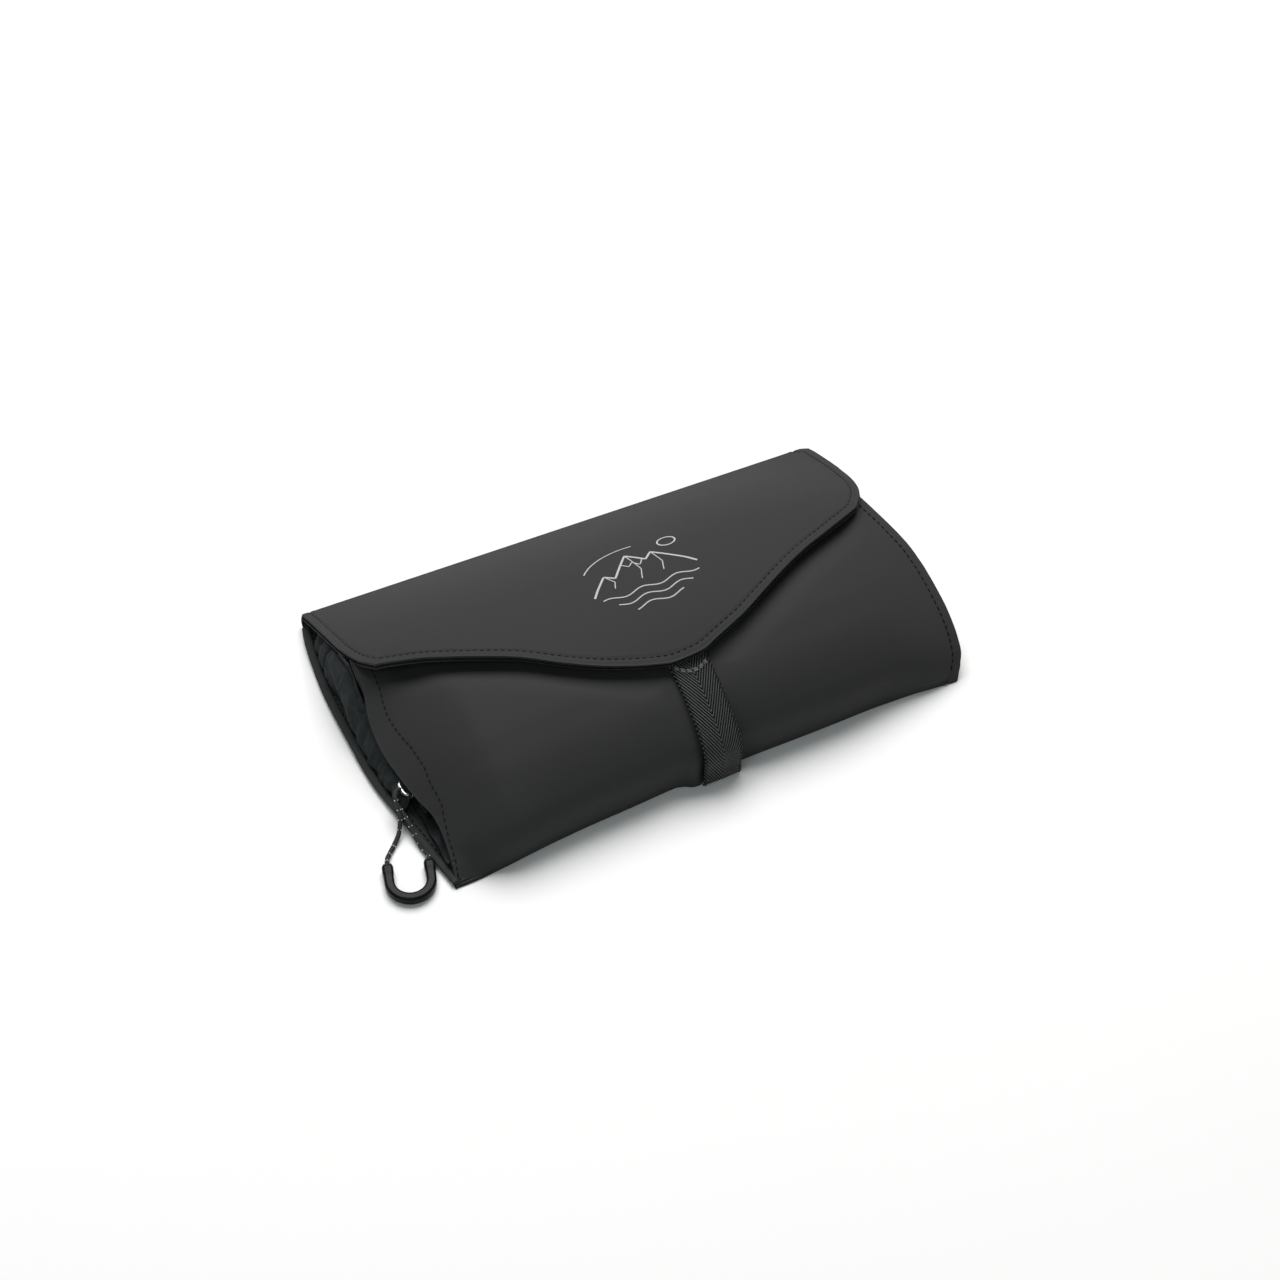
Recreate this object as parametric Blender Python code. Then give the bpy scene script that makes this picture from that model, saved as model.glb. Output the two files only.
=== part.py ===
"""Rolled-up hanging toiletry bag, modelled as its separate sewn and moulded pieces.

+X runs along the bag's length, -Y is the side where the strap comes down, and +Z is up.
The origin is on the table, under the middle of the base panel.
All sizes below are in millimetres; add_object and add_cord turn them into metres.
"""
import math

import bmesh
import bpy
from mathutils import Vector

MM = 0.001
GAP = 0.3

# Fabric and trim thicknesses
SHELL = 1.2
LINING = 0.6
TAPE = 0.5
WEBBING = 1.0

# Base panel, which lies on the table
BASE_HALF_LENGTH = 120.0
BASE_FRONT = -79.0
BASE_REAR = 78.0
BINDING_WIDTH = 9.0
BINDING_FRONT = -69.0
BINDING_REAR = 75.0
LINING_HALF_LENGTH = 110.5
LINING_FRONT = -70.0
LINING_REAR = 55.0

# Side view of the flap, from the rear fold over the crest to the tip
FLAP_SIDE = [(79.0, 7.5), (64.0, 19.0), (48.0, 30.0), (32.0, 39.0), (16.0, 46.0),
             (0.0, 50.3), (-15.0, 51.8), (-30.0, 51.0), (-42.0, 48.8), (-50.0, 46.2)]
FLAP_CREST_Y = 0.0
FLAP_HALF_LENGTH = 120.0
FLAP_CORNER_REACH = 68.0
FLAP_CORNER_TAPER = 0.05
TIP_X = 5.0
TIP_HALF_WIDTH = 8.5

# Side view of the front panel, from the front fold up over the front and back under the flap
FRONT_SIDE = [(-82.0, 5.6), (-82.3, 11.0), (-81.3, 18.0), (-78.0, 24.0), (-72.5, 29.2),
              (-66.0, 34.0), (-58.0, 38.8), (-50.0, 42.0), (-42.0, 44.5), (-30.0, 46.5),
              (-15.0, 47.0), (0.0, 45.3), (12.0, 42.0), (21.0, 37.8)]
FRONT_BEND_Y = -50.0
FRONT_HALF_LENGTH = 121.0

# How far the two free ends of the upper layers sag, as shares of their height
END_SAG_START = 50.0
FLAP_END_SAG = 0.20
FRONT_END_SAG = 0.31
LEFT_MARGIN_START = -98.0
LEFT_MARGIN_SAG = 0.36

# Hinge lines, each parallel to X, as (y, z)
FLAP_HINGE = (77.0, 6.0)
FLAP_BEND_HINGE = (0.0, 50.3)
STRAP_HINGE = (-50.6, 43.5)
FRONT_HINGE = (-76.0, 9.0)
FRONT_BEND_HINGE = (-50.0, 42.0)
HOOK_HINGE = (60.0, 8.0)

# Strap and its touch-fastener patches
STRAP_WIDTH = 17.0
PATCH_WIDTH = 15.0
PATCH_THICKNESS = 0.4
STRAP_GAP = 1.5
STRAP_UPRIGHT = 20.0
STRAP_LOW = 1.0
HOOK_PATCH_HEIGHTS = (17.0, 8.0)
LANDING = (9.7, 11.5, 13.3)

# Pouch on the base panel
UPPER_HALF_LENGTH = 110.0
UPPER_FRONT = -58.0
UPPER_REAR = 46.0
UPPER_TOP = 13.0
POUCH_WALL = 1.2
POUCH_CORNER = 12.0
FACE = 0.8
FACE_BORDER = 15.0
MESH = 0.6
ZIP_SLOT = 2.0
UPPER_ZIP_Y = 33.0
UPPER_ZIP_HALF = 100.0

# Pouch under the front panel
LOWER_HALF_LENGTH = 100.0
LOWER_FRONT = -44.0
LOWER_REAR = 18.5
LOWER_BOTTOM = 22.0
LOWER_ZIP_X = -117.5
LOWER_ZIP_Z = 10.0
LOWER_ZIP_FRONT = -46.0
LOWER_ZIP_REAR = 14.0

# Zip coil and tapes, measured from the coil's middle line
COIL_HALF = 0.6
COIL_RISE = 0.8
TAPE_INNER = 0.9
TAPE_REACH = 5.0

# Zip slider: an upside-down U over the coil, with a bridge for its pull
SLIDER_LENGTH = 9.5
SLIDER_WIDTH = 6.6
SLIDER_PLATE = 1.1
SLIDER_WALL = 0.8
SLIDER_SKIRT = 1.3
SLIDER_WAIST = ((-0.5, 0.72), (-0.15, 1.0), (0.5, 1.0))
BRIDGE_LENGTH = 8.0
BRIDGE_HEIGHT = 3.6
BRIDGE_BAR = 1.0
BRIDGE_CHAMFER = 1.0
UPPER_SLIDER_X = -90.0
LOWER_SLIDER_Y = -31.0

# Pull: a doubled cord that ends in a moulded U
CORD_DIAMETER = 2.0
PULL_ROD = 4.4
PULL_SPREAD = 17.6
PULL_ARM = 9.0
PULL_CENTRE = (-136.4, -70.0)
PULL_TURN = math.radians(-18.0)

# Hanging hook, stowed on the slope under the flap
HOOK_SLOPE = math.radians(33.0)
HOOK_THICKNESS = 3.2
HOOK_CENTRE = 29.0
HOOK_OUTER = 13.5
HOOK_INNER = 8.5
HOOK_BAR = 2.4
SLOT_LENGTH = 3.8
SLOT_HALF_WIDTH = 10.0
HOOK_TAB_HALF_WIDTH = 9.0


# ---------------------------------------------------------------- materials

def make_material(name, colour, roughness, metallic=0.0):
    material = bpy.data.materials.new(name)
    material.use_nodes = True
    shader = material.node_tree.nodes["Principled BSDF"]
    shader.inputs["Base Color"].default_value = (*colour, 1.0)
    shader.inputs["Roughness"].default_value = roughness
    shader.inputs["Metallic"].default_value = metallic
    material.diffuse_color = (*colour, 1.0)
    return material


FINISHES = {
    "coated_fabric": ((0.045, 0.046, 0.047), 0.55, 0.0),
    "lining_fabric": ((0.030, 0.032, 0.033), 0.70, 0.0),
    "binding": ((0.028, 0.030, 0.030), 0.75, 0.0),
    "mesh_fabric": ((0.020, 0.021, 0.021), 0.85, 0.0),
    "webbing": ((0.026, 0.028, 0.028), 0.80, 0.0),
    "touch_fastener": ((0.012, 0.012, 0.012), 0.95, 0.0),
    "zip_tape": ((0.018, 0.019, 0.019), 0.80, 0.0),
    "zip_coil": ((0.010, 0.010, 0.010), 0.45, 0.0),
    "slider_metal": ((0.72, 0.72, 0.73), 0.22, 1.0),
    "cord": ((0.020, 0.020, 0.021), 0.70, 0.0),
    "moulded_plastic": ((0.012, 0.012, 0.013), 0.28, 0.0),
}


# ---------------------------------------------------------------- bodies and objects

class Body:
    """The pieces that move together, hung from an empty that sits on their joint's axis."""

    def __init__(self, name, axis_point=(0.0, 0.0, 0.0), parent=None):
        self.origin = Vector(axis_point)
        self.empty = bpy.data.objects.new(name + "_axis", None)
        self.empty.empty_display_size = 10.0 * MM
        bpy.context.scene.collection.objects.link(self.empty)
        if parent is not None:
            self.empty.parent = parent.empty
            self.empty.location = (self.origin - parent.origin) * MM
        else:
            self.empty.location = self.origin * MM

    def take(self, piece):
        piece.parent = self.empty
        bpy.context.scene.collection.objects.link(piece)


def add_object(name, points, faces, finish, body, smooth=True):
    """One closed piece, from points in the bag's own frame."""
    mesh = bpy.data.meshes.new(name)
    mesh.from_pydata([(Vector(point) - body.origin) * MM for point in points], [], faces)
    shape = bmesh.new()
    shape.from_mesh(mesh)
    bmesh.ops.recalc_face_normals(shape, faces=shape.faces)
    shape.to_mesh(mesh)
    shape.free()
    mesh.materials.append(MATERIALS[finish])
    if smooth:
        mesh.shade_smooth()
        mesh.set_sharp_from_angle(angle=math.radians(40.0))
    piece = bpy.data.objects.new(name, mesh)
    body.take(piece)
    return piece


def add_cord(name, points, diameter, finish, body):
    """A round cord through the given points, with its ends capped."""
    curve = bpy.data.curves.new(name, "CURVE")
    curve.dimensions = "3D"
    spline = curve.splines.new("POLY")
    spline.points.add(len(points) - 1)
    for knot, point in zip(spline.points, points):
        knot.co = (*((Vector(point) - body.origin) * MM), 1.0)
    curve.bevel_depth = diameter / 2 * MM
    curve.bevel_resolution = 2
    curve.use_fill_caps = True
    curve.materials.append(MATERIALS[finish])
    piece = bpy.data.objects.new(name, curve)
    body.take(piece)
    return piece


# ---------------------------------------------------------------- curves

def smooth_through(points, steps=8):
    """Points of a Catmull-Rom curve through the given points."""
    points = [Vector(point) for point in points]
    padded = [2 * points[0] - points[1]] + points + [2 * points[-1] - points[-2]]
    curve = []
    for before, start, end, after in zip(padded, padded[1:], padded[2:], padded[3:]):
        for step in range(steps):
            t = step / steps
            curve.append(0.5 * (2 * start + (end - before) * t
                                + (2 * before - 5 * start + 4 * end - after) * t ** 2
                                + (3 * start - before - 3 * end + after) * t ** 3))
    curve.append(points[-1])
    return curve


class SideView:
    """A smooth (y, z) curve that is read by the distance along it."""

    def __init__(self, points):
        self.curve = smooth_through(points)
        self.reach = [0.0]
        for start, end in zip(self.curve, self.curve[1:]):
            self.reach.append(self.reach[-1] + (end - start).length)
        self.length = self.reach[-1]

    def at(self, distance):
        for index in range(1, len(self.reach)):
            if self.reach[index] >= distance or index == len(self.reach) - 1:
                span = self.reach[index] - self.reach[index - 1]
                share = (distance - self.reach[index - 1]) / span
                return self.curve[index - 1].lerp(self.curve[index], share)

    def distance_at(self, y, backwards=False):
        """Distance to where the curve's upper stretch crosses the given y."""
        steps = range(len(self.curve) - 2, -1, -1) if backwards else range(len(self.curve) - 1)
        for index in steps:
            start, end = self.curve[index], self.curve[index + 1]
            if min(start.x, end.x) <= y <= max(start.x, end.x):
                share = (y - start.x) / (end.x - start.x)
                return self.reach[index] + share * (end - start).length
        return self.length


def shift_inwards(points, depth, inward):
    """Moves each point of an open (y, z) line sideways; inward is 1 for left, -1 for right."""
    moved = []
    for index, point in enumerate(points):
        before = points[max(index - 1, 0)]
        after = points[min(index + 1, len(points) - 1)]
        run = (after - before).normalized()
        moved.append(point + Vector((-run.y, run.x)) * inward * depth)
    return moved


def smoothstep(value):
    value = min(1.0, max(0.0, value))
    return value * value * (3 - 2 * value)


# ---------------------------------------------------------------- draped panels

def flap_sag(x):
    return FLAP_END_SAG * (max(0.0, abs(x) - END_SAG_START) / 64.0) ** 2


def front_sag(x):
    ends = FRONT_END_SAG * (max(0.0, abs(x) - END_SAG_START) / 70.0) ** 2
    margin_width = FRONT_HALF_LENGTH + LEFT_MARGIN_START
    return ends + LEFT_MARGIN_SAG * smoothstep((LEFT_MARGIN_START - x) / margin_width)


def flap_reach(x):
    """Distance over the fabric from the rear fold to the flap's front edge."""
    side = FLAP_HALF_LENGTH + TIP_X if x < TIP_X else FLAP_HALF_LENGTH - TIP_X
    across = max(0.0, abs(x - TIP_X) - TIP_HALF_WIDTH) / (side - TIP_HALF_WIDTH)
    slope = 0.6 * across + 0.4 * smoothstep(across)
    return FLAP.length - (FLAP.length - FLAP_CORNER_REACH) * slope


def sagged(point, x, sag, foot):
    return Vector((point.x, foot + (point.y - foot) * (1 - sag(x))))


def drape(view, stations, start, end, rows, sag, foot):
    """Columns of (y, z) points over a side view, one at each station along X."""
    columns = []
    for x in stations:
        first, last = start(x), end(x)
        columns.append([sagged(view.at(first + (last - first) * row / (rows - 1)), x, sag, foot)
                        for row in range(rows)])
    return columns


def add_sheet(name, stations, columns, depth, thickness, inward, finish, body, taper=None):
    """A closed sheet whose outer face lies at a depth below the draped columns."""
    rows = len(columns[0])
    points = []
    for sink in (depth, depth + thickness):
        for x, column in zip(stations, columns):
            for row, (y, z) in enumerate(shift_inwards(column, sink, inward)):
                narrow = taper(x, row / (rows - 1)) if taper else 1.0
                points.append((x * narrow, y, z))
    layer = len(stations) * rows
    faces = []
    for i in range(len(stations) - 1):
        for j in range(rows - 1):
            corner = i * rows + j
            quad = (corner, corner + 1, corner + rows + 1, corner + rows)
            faces.append(quad)
            faces.append(tuple(layer + index for index in reversed(quad)))
    rim = [j for j in range(rows)]
    rim += [i * rows + rows - 1 for i in range(1, len(stations))]
    rim += [(len(stations) - 1) * rows + j for j in range(rows - 2, -1, -1)]
    rim += [i * rows for i in range(len(stations) - 2, 0, -1)]
    for here, there in zip(rim, rim[1:] + rim[:1]):
        faces.append((here, there, layer + there, layer + here))
    return add_object(name, points, faces, finish, body)


def front_underside(x, y):
    """Height under the front panel's lining at a place of the lower pouch."""
    point = FRONT.at(FRONT.distance_at(y, backwards=True))
    height = sagged(point, x, front_sag, FRONT_SIDE[0][1]).y
    return height - (SHELL + LINING + 3 * GAP)


# ---------------------------------------------------------------- strips, rings and plates

def add_ribbon(name, path, thickness, span, finish, body, along="X"):
    """A strip of constant thickness: a path in side view, drawn out along one axis."""
    path = [Vector(point) for point in path]
    outline = shift_inwards(path, thickness / 2, 1) + shift_inwards(path, thickness / 2, -1)[::-1]
    points = []
    for end in span:
        for u, z in outline:
            points.append((end, u, z) if along == "X" else (u, end, z))
    count = len(outline)
    half = len(path)
    faces = []
    for index in range(half - 1):
        quad = (index, index + 1, count - 2 - index, count - 1 - index)
        faces.append(quad)
        faces.append(tuple(count + corner for corner in reversed(quad)))
    for index in range(count):
        after = (index + 1) % count
        faces.append((index, after, count + after, count + index))
    return add_object(name, points, faces, finish, body)


def add_block(name, low, high, finish, body):
    points = [(x, y, z) for x in (low[0], high[0]) for y in (low[1], high[1])
              for z in (low[2], high[2])]
    faces = [(0, 1, 3, 2), (4, 6, 7, 5), (0, 4, 5, 1), (2, 3, 7, 6), (0, 2, 6, 4), (1, 5, 7, 3)]
    return add_object(name, points, faces, finish, body, smooth=False)


def rounded_outline(half_length, front, rear, radius, along=10, across=4, turn=4):
    """(x, y) points round a rounded rectangle, evenly many for every size."""
    corners = [(half_length - radius, rear - radius, 0.0),
               (-half_length + radius, rear - radius, 90.0),
               (-half_length + radius, front + radius, 180.0),
               (half_length - radius, front + radius, 270.0)]
    outline = []
    for index, (x, y, angle) in enumerate(corners):
        arc = [Vector((x + radius * math.cos(math.radians(angle + 90 * step / turn)),
                       y + radius * math.sin(math.radians(angle + 90 * step / turn))))
               for step in range(turn + 1)]
        outline += arc
        next_x, next_y, next_angle = corners[(index + 1) % 4]
        target = Vector((next_x + radius * math.cos(math.radians(next_angle)),
                         next_y + radius * math.sin(math.radians(next_angle))))
        cuts = along if index % 2 == 0 else across
        outline += [arc[-1].lerp(target, cut / cuts) for cut in range(1, cuts)]
    return outline


def add_ring(name, outer, inner, low, high, finish, body):
    """A wall between two outlines, with its lower and upper edges at given heights."""
    count = len(outer)
    points = []
    for outline in (outer, inner):
        for level in (low, high):
            points += [(x, y, level(x, y)) for x, y in outline]
    faces = []
    for index in range(count):
        after = (index + 1) % count
        for near, far in ((0, 1), (3, 2), (1, 3), (2, 0)):
            faces.append((near * count + index, near * count + after,
                          far * count + after, far * count + index))
    return add_object(name, points, faces, finish, body)


def add_plate(name, outline, low, high, finish, body):
    """A flat plate with the given outline."""
    count = len(outline)
    points = [(x, y, level) for level in (low, high) for x, y in outline]
    faces = [tuple(range(count)), tuple(range(2 * count - 1, count - 1, -1))]
    for index in range(count):
        after = (index + 1) % count
        faces.append((index, after, count + after, count + index))
    return add_object(name, points, faces, finish, body)


def level(height):
    return lambda x, y: height


def add_pouch(prefix, half_length, front, rear, low, high, face_low, mesh_rear, body):
    """A pouch's gusset wall, its bordered face and the mesh window in that face."""
    outer = rounded_outline(half_length, front, rear, POUCH_CORNER)
    inner = rounded_outline(half_length - POUCH_WALL, front + POUCH_WALL, rear - POUCH_WALL,
                            POUCH_CORNER - POUCH_WALL)
    add_ring(prefix + "_gusset", outer, inner, low, high, "lining_fabric", body)
    window = rounded_outline(half_length - FACE_BORDER, front + FACE_BORDER, mesh_rear,
                             POUCH_CORNER / 2)
    face_edge = rounded_outline(half_length, front, mesh_rear + FACE_BORDER / 2, POUCH_CORNER / 2)
    add_ring(prefix + "_face", face_edge, window, level(face_low), level(face_low + FACE),
             "lining_fabric", body)
    pane = rounded_outline(half_length - FACE_BORDER - GAP, front + FACE_BORDER + GAP,
                           mesh_rear - GAP, POUCH_CORNER / 2 - GAP)
    add_plate(prefix + "_mesh", pane, face_low + (FACE - MESH) / 2,
              face_low + (FACE + MESH) / 2, "mesh_fabric", body)


# ---------------------------------------------------------------- zip sliders

def add_slider(prefix, place, body):
    """Slider body and bridge; place turns (along, across, out) into a point of the bag.

    Out is measured from the tape's outer face.
    """
    half = SLIDER_WIDTH / 2
    section = [(-half, GAP), (-half + SLIDER_WALL, GAP),
               (-half + SLIDER_WALL, GAP + SLIDER_SKIRT),
               (half - SLIDER_WALL, GAP + SLIDER_SKIRT),
               (half - SLIDER_WALL, GAP), (half, GAP),
               (half, GAP + SLIDER_SKIRT + SLIDER_PLATE),
               (-half, GAP + SLIDER_SKIRT + SLIDER_PLATE)]
    points = []
    for share, width in SLIDER_WAIST:
        points += [place(share * SLIDER_LENGTH, across * width, out) for across, out in section]
    count = len(section)
    faces = []
    for ring in range(len(SLIDER_WAIST) - 1):
        for index in range(count):
            after = (index + 1) % count
            faces.append((ring * count + index, ring * count + after,
                          (ring + 1) * count + after, (ring + 1) * count + index))
    last = (len(SLIDER_WAIST) - 1) * count
    for first, flip in ((0, False), (last, True)):
        for quad in ((0, 1, 2, 7), (3, 4, 5, 6), (7, 2, 3, 6)):
            cap = tuple(first + corner for corner in quad)
            faces.append(cap[::-1] if flip else cap)
    add_object(prefix + "_slider", points, faces, "slider_metal", body, smooth=False)

    seat = 2 * GAP + SLIDER_SKIRT + SLIDER_PLATE
    crown = seat + BRIDGE_HEIGHT
    reach = BRIDGE_LENGTH / 2
    shoulder = reach - BRIDGE_CHAMFER
    brow = crown - BRIDGE_CHAMFER
    arch = [(-reach, seat), (-reach, brow), (-shoulder, crown), (shoulder, crown),
            (reach, brow), (reach, seat), (reach - BRIDGE_BAR, seat),
            (reach - BRIDGE_BAR, crown - BRIDGE_BAR), (-reach + BRIDGE_BAR, crown - BRIDGE_BAR),
            (-reach + BRIDGE_BAR, seat)]
    points = []
    for across in (-BRIDGE_BAR / 2, BRIDGE_BAR / 2):
        points += [place(along, across, out) for along, out in arch]
    count = len(arch)
    faces = []
    for quad in ((0, 1, 8, 9), (1, 2, 8), (2, 3, 7, 8), (3, 4, 7), (4, 5, 6, 7)):
        faces.append(quad)
        faces.append(tuple(count + corner for corner in reversed(quad)))
    for index in range(count):
        after = (index + 1) % count
        faces.append((index, after, count + after, count + index))
    add_object(prefix + "_slider_bridge", points, faces, "slider_metal", body, smooth=False)


# ---------------------------------------------------------------- the pieces

def make_base(base):
    add_block("base_shell", (-BASE_HALF_LENGTH, BASE_FRONT, 0.0),
              (BASE_HALF_LENGTH, BASE_REAR, SHELL), "coated_fabric", base)
    lining_low = SHELL + GAP
    add_block("base_lining", (-LINING_HALF_LENGTH, LINING_FRONT, lining_low),
              (LINING_HALF_LENGTH, LINING_REAR, lining_low + LINING), "lining_fabric", base)
    for side, name in ((-1, "left"), (1, "right")):
        edges = sorted((side * BASE_HALF_LENGTH, side * (BASE_HALF_LENGTH - BINDING_WIDTH)))
        add_block("base_binding_" + name, (edges[0], BINDING_FRONT, lining_low),
                  (edges[1], BINDING_REAR, lining_low + LINING), "binding", base)


def make_upper_pouch(base):
    floor = SHELL + LINING + 2 * GAP
    face_low = UPPER_TOP + GAP
    face_rear = UPPER_ZIP_Y - ZIP_SLOT
    add_pouch("upper", UPPER_HALF_LENGTH, UPPER_FRONT, UPPER_REAR, level(floor),
              level(UPPER_TOP), face_low, face_rear - FACE_BORDER / 2, base)
    strip = rounded_outline(UPPER_HALF_LENGTH, UPPER_ZIP_Y + ZIP_SLOT, UPPER_REAR,
                            POUCH_CORNER / 2)
    add_plate("upper_top_strip", strip, face_low, face_low + FACE, "lining_fabric", base)
    tape_low = face_low + FACE + GAP
    for name, front, rear in (("front", -TAPE_REACH, -TAPE_INNER),
                              ("rear", TAPE_INNER, TAPE_REACH)):
        add_block("upper_zip_tape_" + name,
                  (-UPPER_ZIP_HALF, UPPER_ZIP_Y + front, tape_low),
                  (UPPER_ZIP_HALF, UPPER_ZIP_Y + rear, tape_low + TAPE), "zip_tape", base)
    coil_middle = tape_low + TAPE / 2
    add_block("upper_zip_coil",
              (-UPPER_ZIP_HALF, UPPER_ZIP_Y - COIL_HALF, coil_middle - COIL_RISE),
              (UPPER_ZIP_HALF, UPPER_ZIP_Y + COIL_HALF, coil_middle + COIL_RISE),
              "zip_coil", base)
    return tape_low + TAPE


def make_upper_slider(body, tape_top):
    def place(along, across, out):
        return (UPPER_SLIDER_X + along, UPPER_ZIP_Y + across, tape_top + out)

    add_slider("upper", place, body)
    bar = tape_top + 2 * GAP + SLIDER_SKIRT + SLIDER_PLATE + (BRIDGE_HEIGHT - BRIDGE_BAR) / 2
    outer = [(UPPER_SLIDER_X + x, UPPER_ZIP_Y + y)
             for x, y in ((-1.6, -2.6), (15.0, -2.6), (16.5, 0.0), (15.0, 2.6), (-1.6, 2.6))]
    inner = [(UPPER_SLIDER_X + x, UPPER_ZIP_Y + y)
             for x, y in ((-0.4, -1.3), (6.0, -1.3), (6.5, 0.0), (6.0, 1.3), (-0.4, 1.3))]
    add_ring("upper_slider_tab", outer, inner, level(bar - 0.4), level(bar + 0.4),
             "slider_metal", body)


def make_hook_tab(base):
    y, z = HOOK_HINGE
    radius = HOOK_BAR * 0.75 + GAP + WEBBING * 0.4
    loop = [(y + radius * math.cos(math.radians(angle)), z + radius * math.sin(math.radians(angle)))
            for angle in range(250, -61, -22)]
    tail = [(y + 2.6, z - 4.4), (y + 3.2, SHELL + GAP + 0.6), (y + 8.0, SHELL + GAP + 0.4)]
    add_ribbon("hook_tab", loop + tail, WEBBING * 0.8,
               (-HOOK_TAB_HALF_WIDTH, HOOK_TAB_HALF_WIDTH), "webbing", base)


def hook_point(along, across, out):
    """A point of the stowed hook: along its length, across it, and out of its plane."""
    y, z = HOOK_HINGE
    cosine, sine = math.cos(HOOK_SLOPE), math.sin(HOOK_SLOPE)
    return (across, y - along * cosine + out * sine, z + along * sine + out * cosine)


def add_hook_plate(name, outline, body, finish="moulded_plastic", half=HOOK_THICKNESS / 2):
    count = len(outline)
    points = [hook_point(along, across, out) for out in (-half, half)
              for along, across in outline]
    faces = [tuple(range(count)), tuple(range(2 * count - 1, count - 1, -1))]
    for index in range(count):
        after = (index + 1) % count
        faces.append((index, after, count + after, count + index))
    return add_object(name, points, faces, finish, body, smooth=False)


def make_hook(body):
    """A flat C on a short neck, with a slotted foot that turns on the webbing tab."""
    foot = HOOK_BAR / 2
    slot_end = foot + SLOT_LENGTH
    outline = [(-foot, -SLOT_HALF_WIDTH - 3.0), (-foot, SLOT_HALF_WIDTH + 3.0),
               (slot_end + 1.0, SLOT_HALF_WIDTH + 3.0), (slot_end + 3.0, 6.0)]
    start, finish, steps = -160.0, 95.0, 17
    arc = [math.radians(start + (finish - start) * step / steps) for step in range(steps + 1)]
    outline += [(HOOK_CENTRE + HOOK_OUTER * math.cos(angle), -HOOK_OUTER * math.sin(angle))
                for angle in arc]
    outline += [(HOOK_CENTRE + HOOK_INNER * math.cos(angle), -HOOK_INNER * math.sin(angle))
                for angle in reversed(arc)]
    outline += [(HOOK_CENTRE - HOOK_INNER - 2.0, 0.5), (slot_end + 6.0, -3.5),
                (slot_end + 3.0, -6.0), (slot_end + 1.0, -SLOT_HALF_WIDTH - 3.0)]
    hook = add_hook_plate("hanging_hook", outline, body)
    slot = [(foot, -SLOT_HALF_WIDTH), (foot, SLOT_HALF_WIDTH),
            (slot_end, SLOT_HALF_WIDTH), (slot_end, -SLOT_HALF_WIDTH)]
    cutter = add_hook_plate("hook_slot_cutter", slot, body, half=HOOK_THICKNESS)
    cutter.hide_render = True
    cutter.display_type = "WIRE"
    cut = hook.modifiers.new("slot", "BOOLEAN")
    cut.operation = "DIFFERENCE"
    cut.object = cutter


def flap_taper(x, share):
    return 1.0 - FLAP_CORNER_TAPER * share * (abs(x) / FLAP_HALF_LENGTH) ** 4


def make_flap(flap, flap_tip):
    crest = FLAP.distance_at(FLAP_CREST_Y)
    stations = [-120, -108, -95, -84, -74, -60, -40, -20, 0, 20, 40, 60, 74, 84, 95, 108, 120]
    layers = (("flap_rear_panel", 0.0, SHELL, "coated_fabric"),
              ("flap_rear_lining", SHELL + GAP, LINING, "lining_fabric"))
    for name, depth, thickness, finish in layers:
        trim = 3.0 if depth else 0.0
        columns = drape(FLAP, stations, lambda x: trim,
                        lambda x: min(crest - GAP, flap_reach(x) - trim), 9,
                        flap_sag, FLAP_SIDE[0][1])
        add_sheet(name, stations, columns, depth, thickness, 1, finish, flap, flap_taper)

    stations = [-74, -60, -45, -30, -16, TIP_X - TIP_HALF_WIDTH, TIP_X, TIP_X + TIP_HALF_WIDTH,
                26, 40, 55, 69, 78]
    layers = (("flap_tip_panel", 0.0, SHELL, "coated_fabric"),
              ("flap_tip_lining", SHELL + GAP, LINING, "lining_fabric"))
    for name, depth, thickness, finish in layers:
        trim = 2.0 if depth else 0.0
        columns = drape(FLAP, stations, lambda x: crest + GAP,
                        lambda x: max(crest + 2 * GAP + 0.5, flap_reach(x) - trim), 7,
                        flap_sag, FLAP_SIDE[0][1])
        add_sheet(name, stations, columns, depth, thickness, 1, finish, flap_tip)
    anchor = front_line(-48.8, -41.5, STRAP_GAP - 0.9, 4)
    add_ribbon("strap_anchor", anchor, 0.8, STRAP_SPAN, "webbing", flap_tip)


def front_line(start_y, end_y, lift, count):
    """Points that run a little outside the front panel, between two places on its top."""
    first = FRONT.distance_at(start_y, backwards=True)
    last = FRONT.distance_at(end_y, backwards=True)
    line = [FRONT.at(first + (last - first) * step / (count - 1)) for step in range(count)]
    return shift_inwards(line, lift, 1)


def make_strap(body):
    first = FRONT.distance_at(STRAP_HINGE[0] - 0.6, backwards=True)
    line = [FRONT.at(first + (STRAP_UPRIGHT - first) * step / 8) for step in range(9)]
    line = shift_inwards(line, STRAP_GAP, -1)
    nose = min(point.x for point in FRONT.curve)
    side = nose - 2 * PATCH_THICKNESS - 3 * GAP - WEBBING / 2
    line += [Vector((side, z)) for z in (17.5, 9.0, STRAP_LOW)]
    add_ribbon("strap_webbing", line, WEBBING, STRAP_SPAN, "webbing", body)
    back = side + WEBBING / 2 + GAP + PATCH_THICKNESS / 2
    patch = [Vector((back, z)) for z in HOOK_PATCH_HEIGHTS]
    add_ribbon("strap_hook_patch", patch, PATCH_THICKNESS, PATCH_SPAN, "touch_fastener", body)


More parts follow.
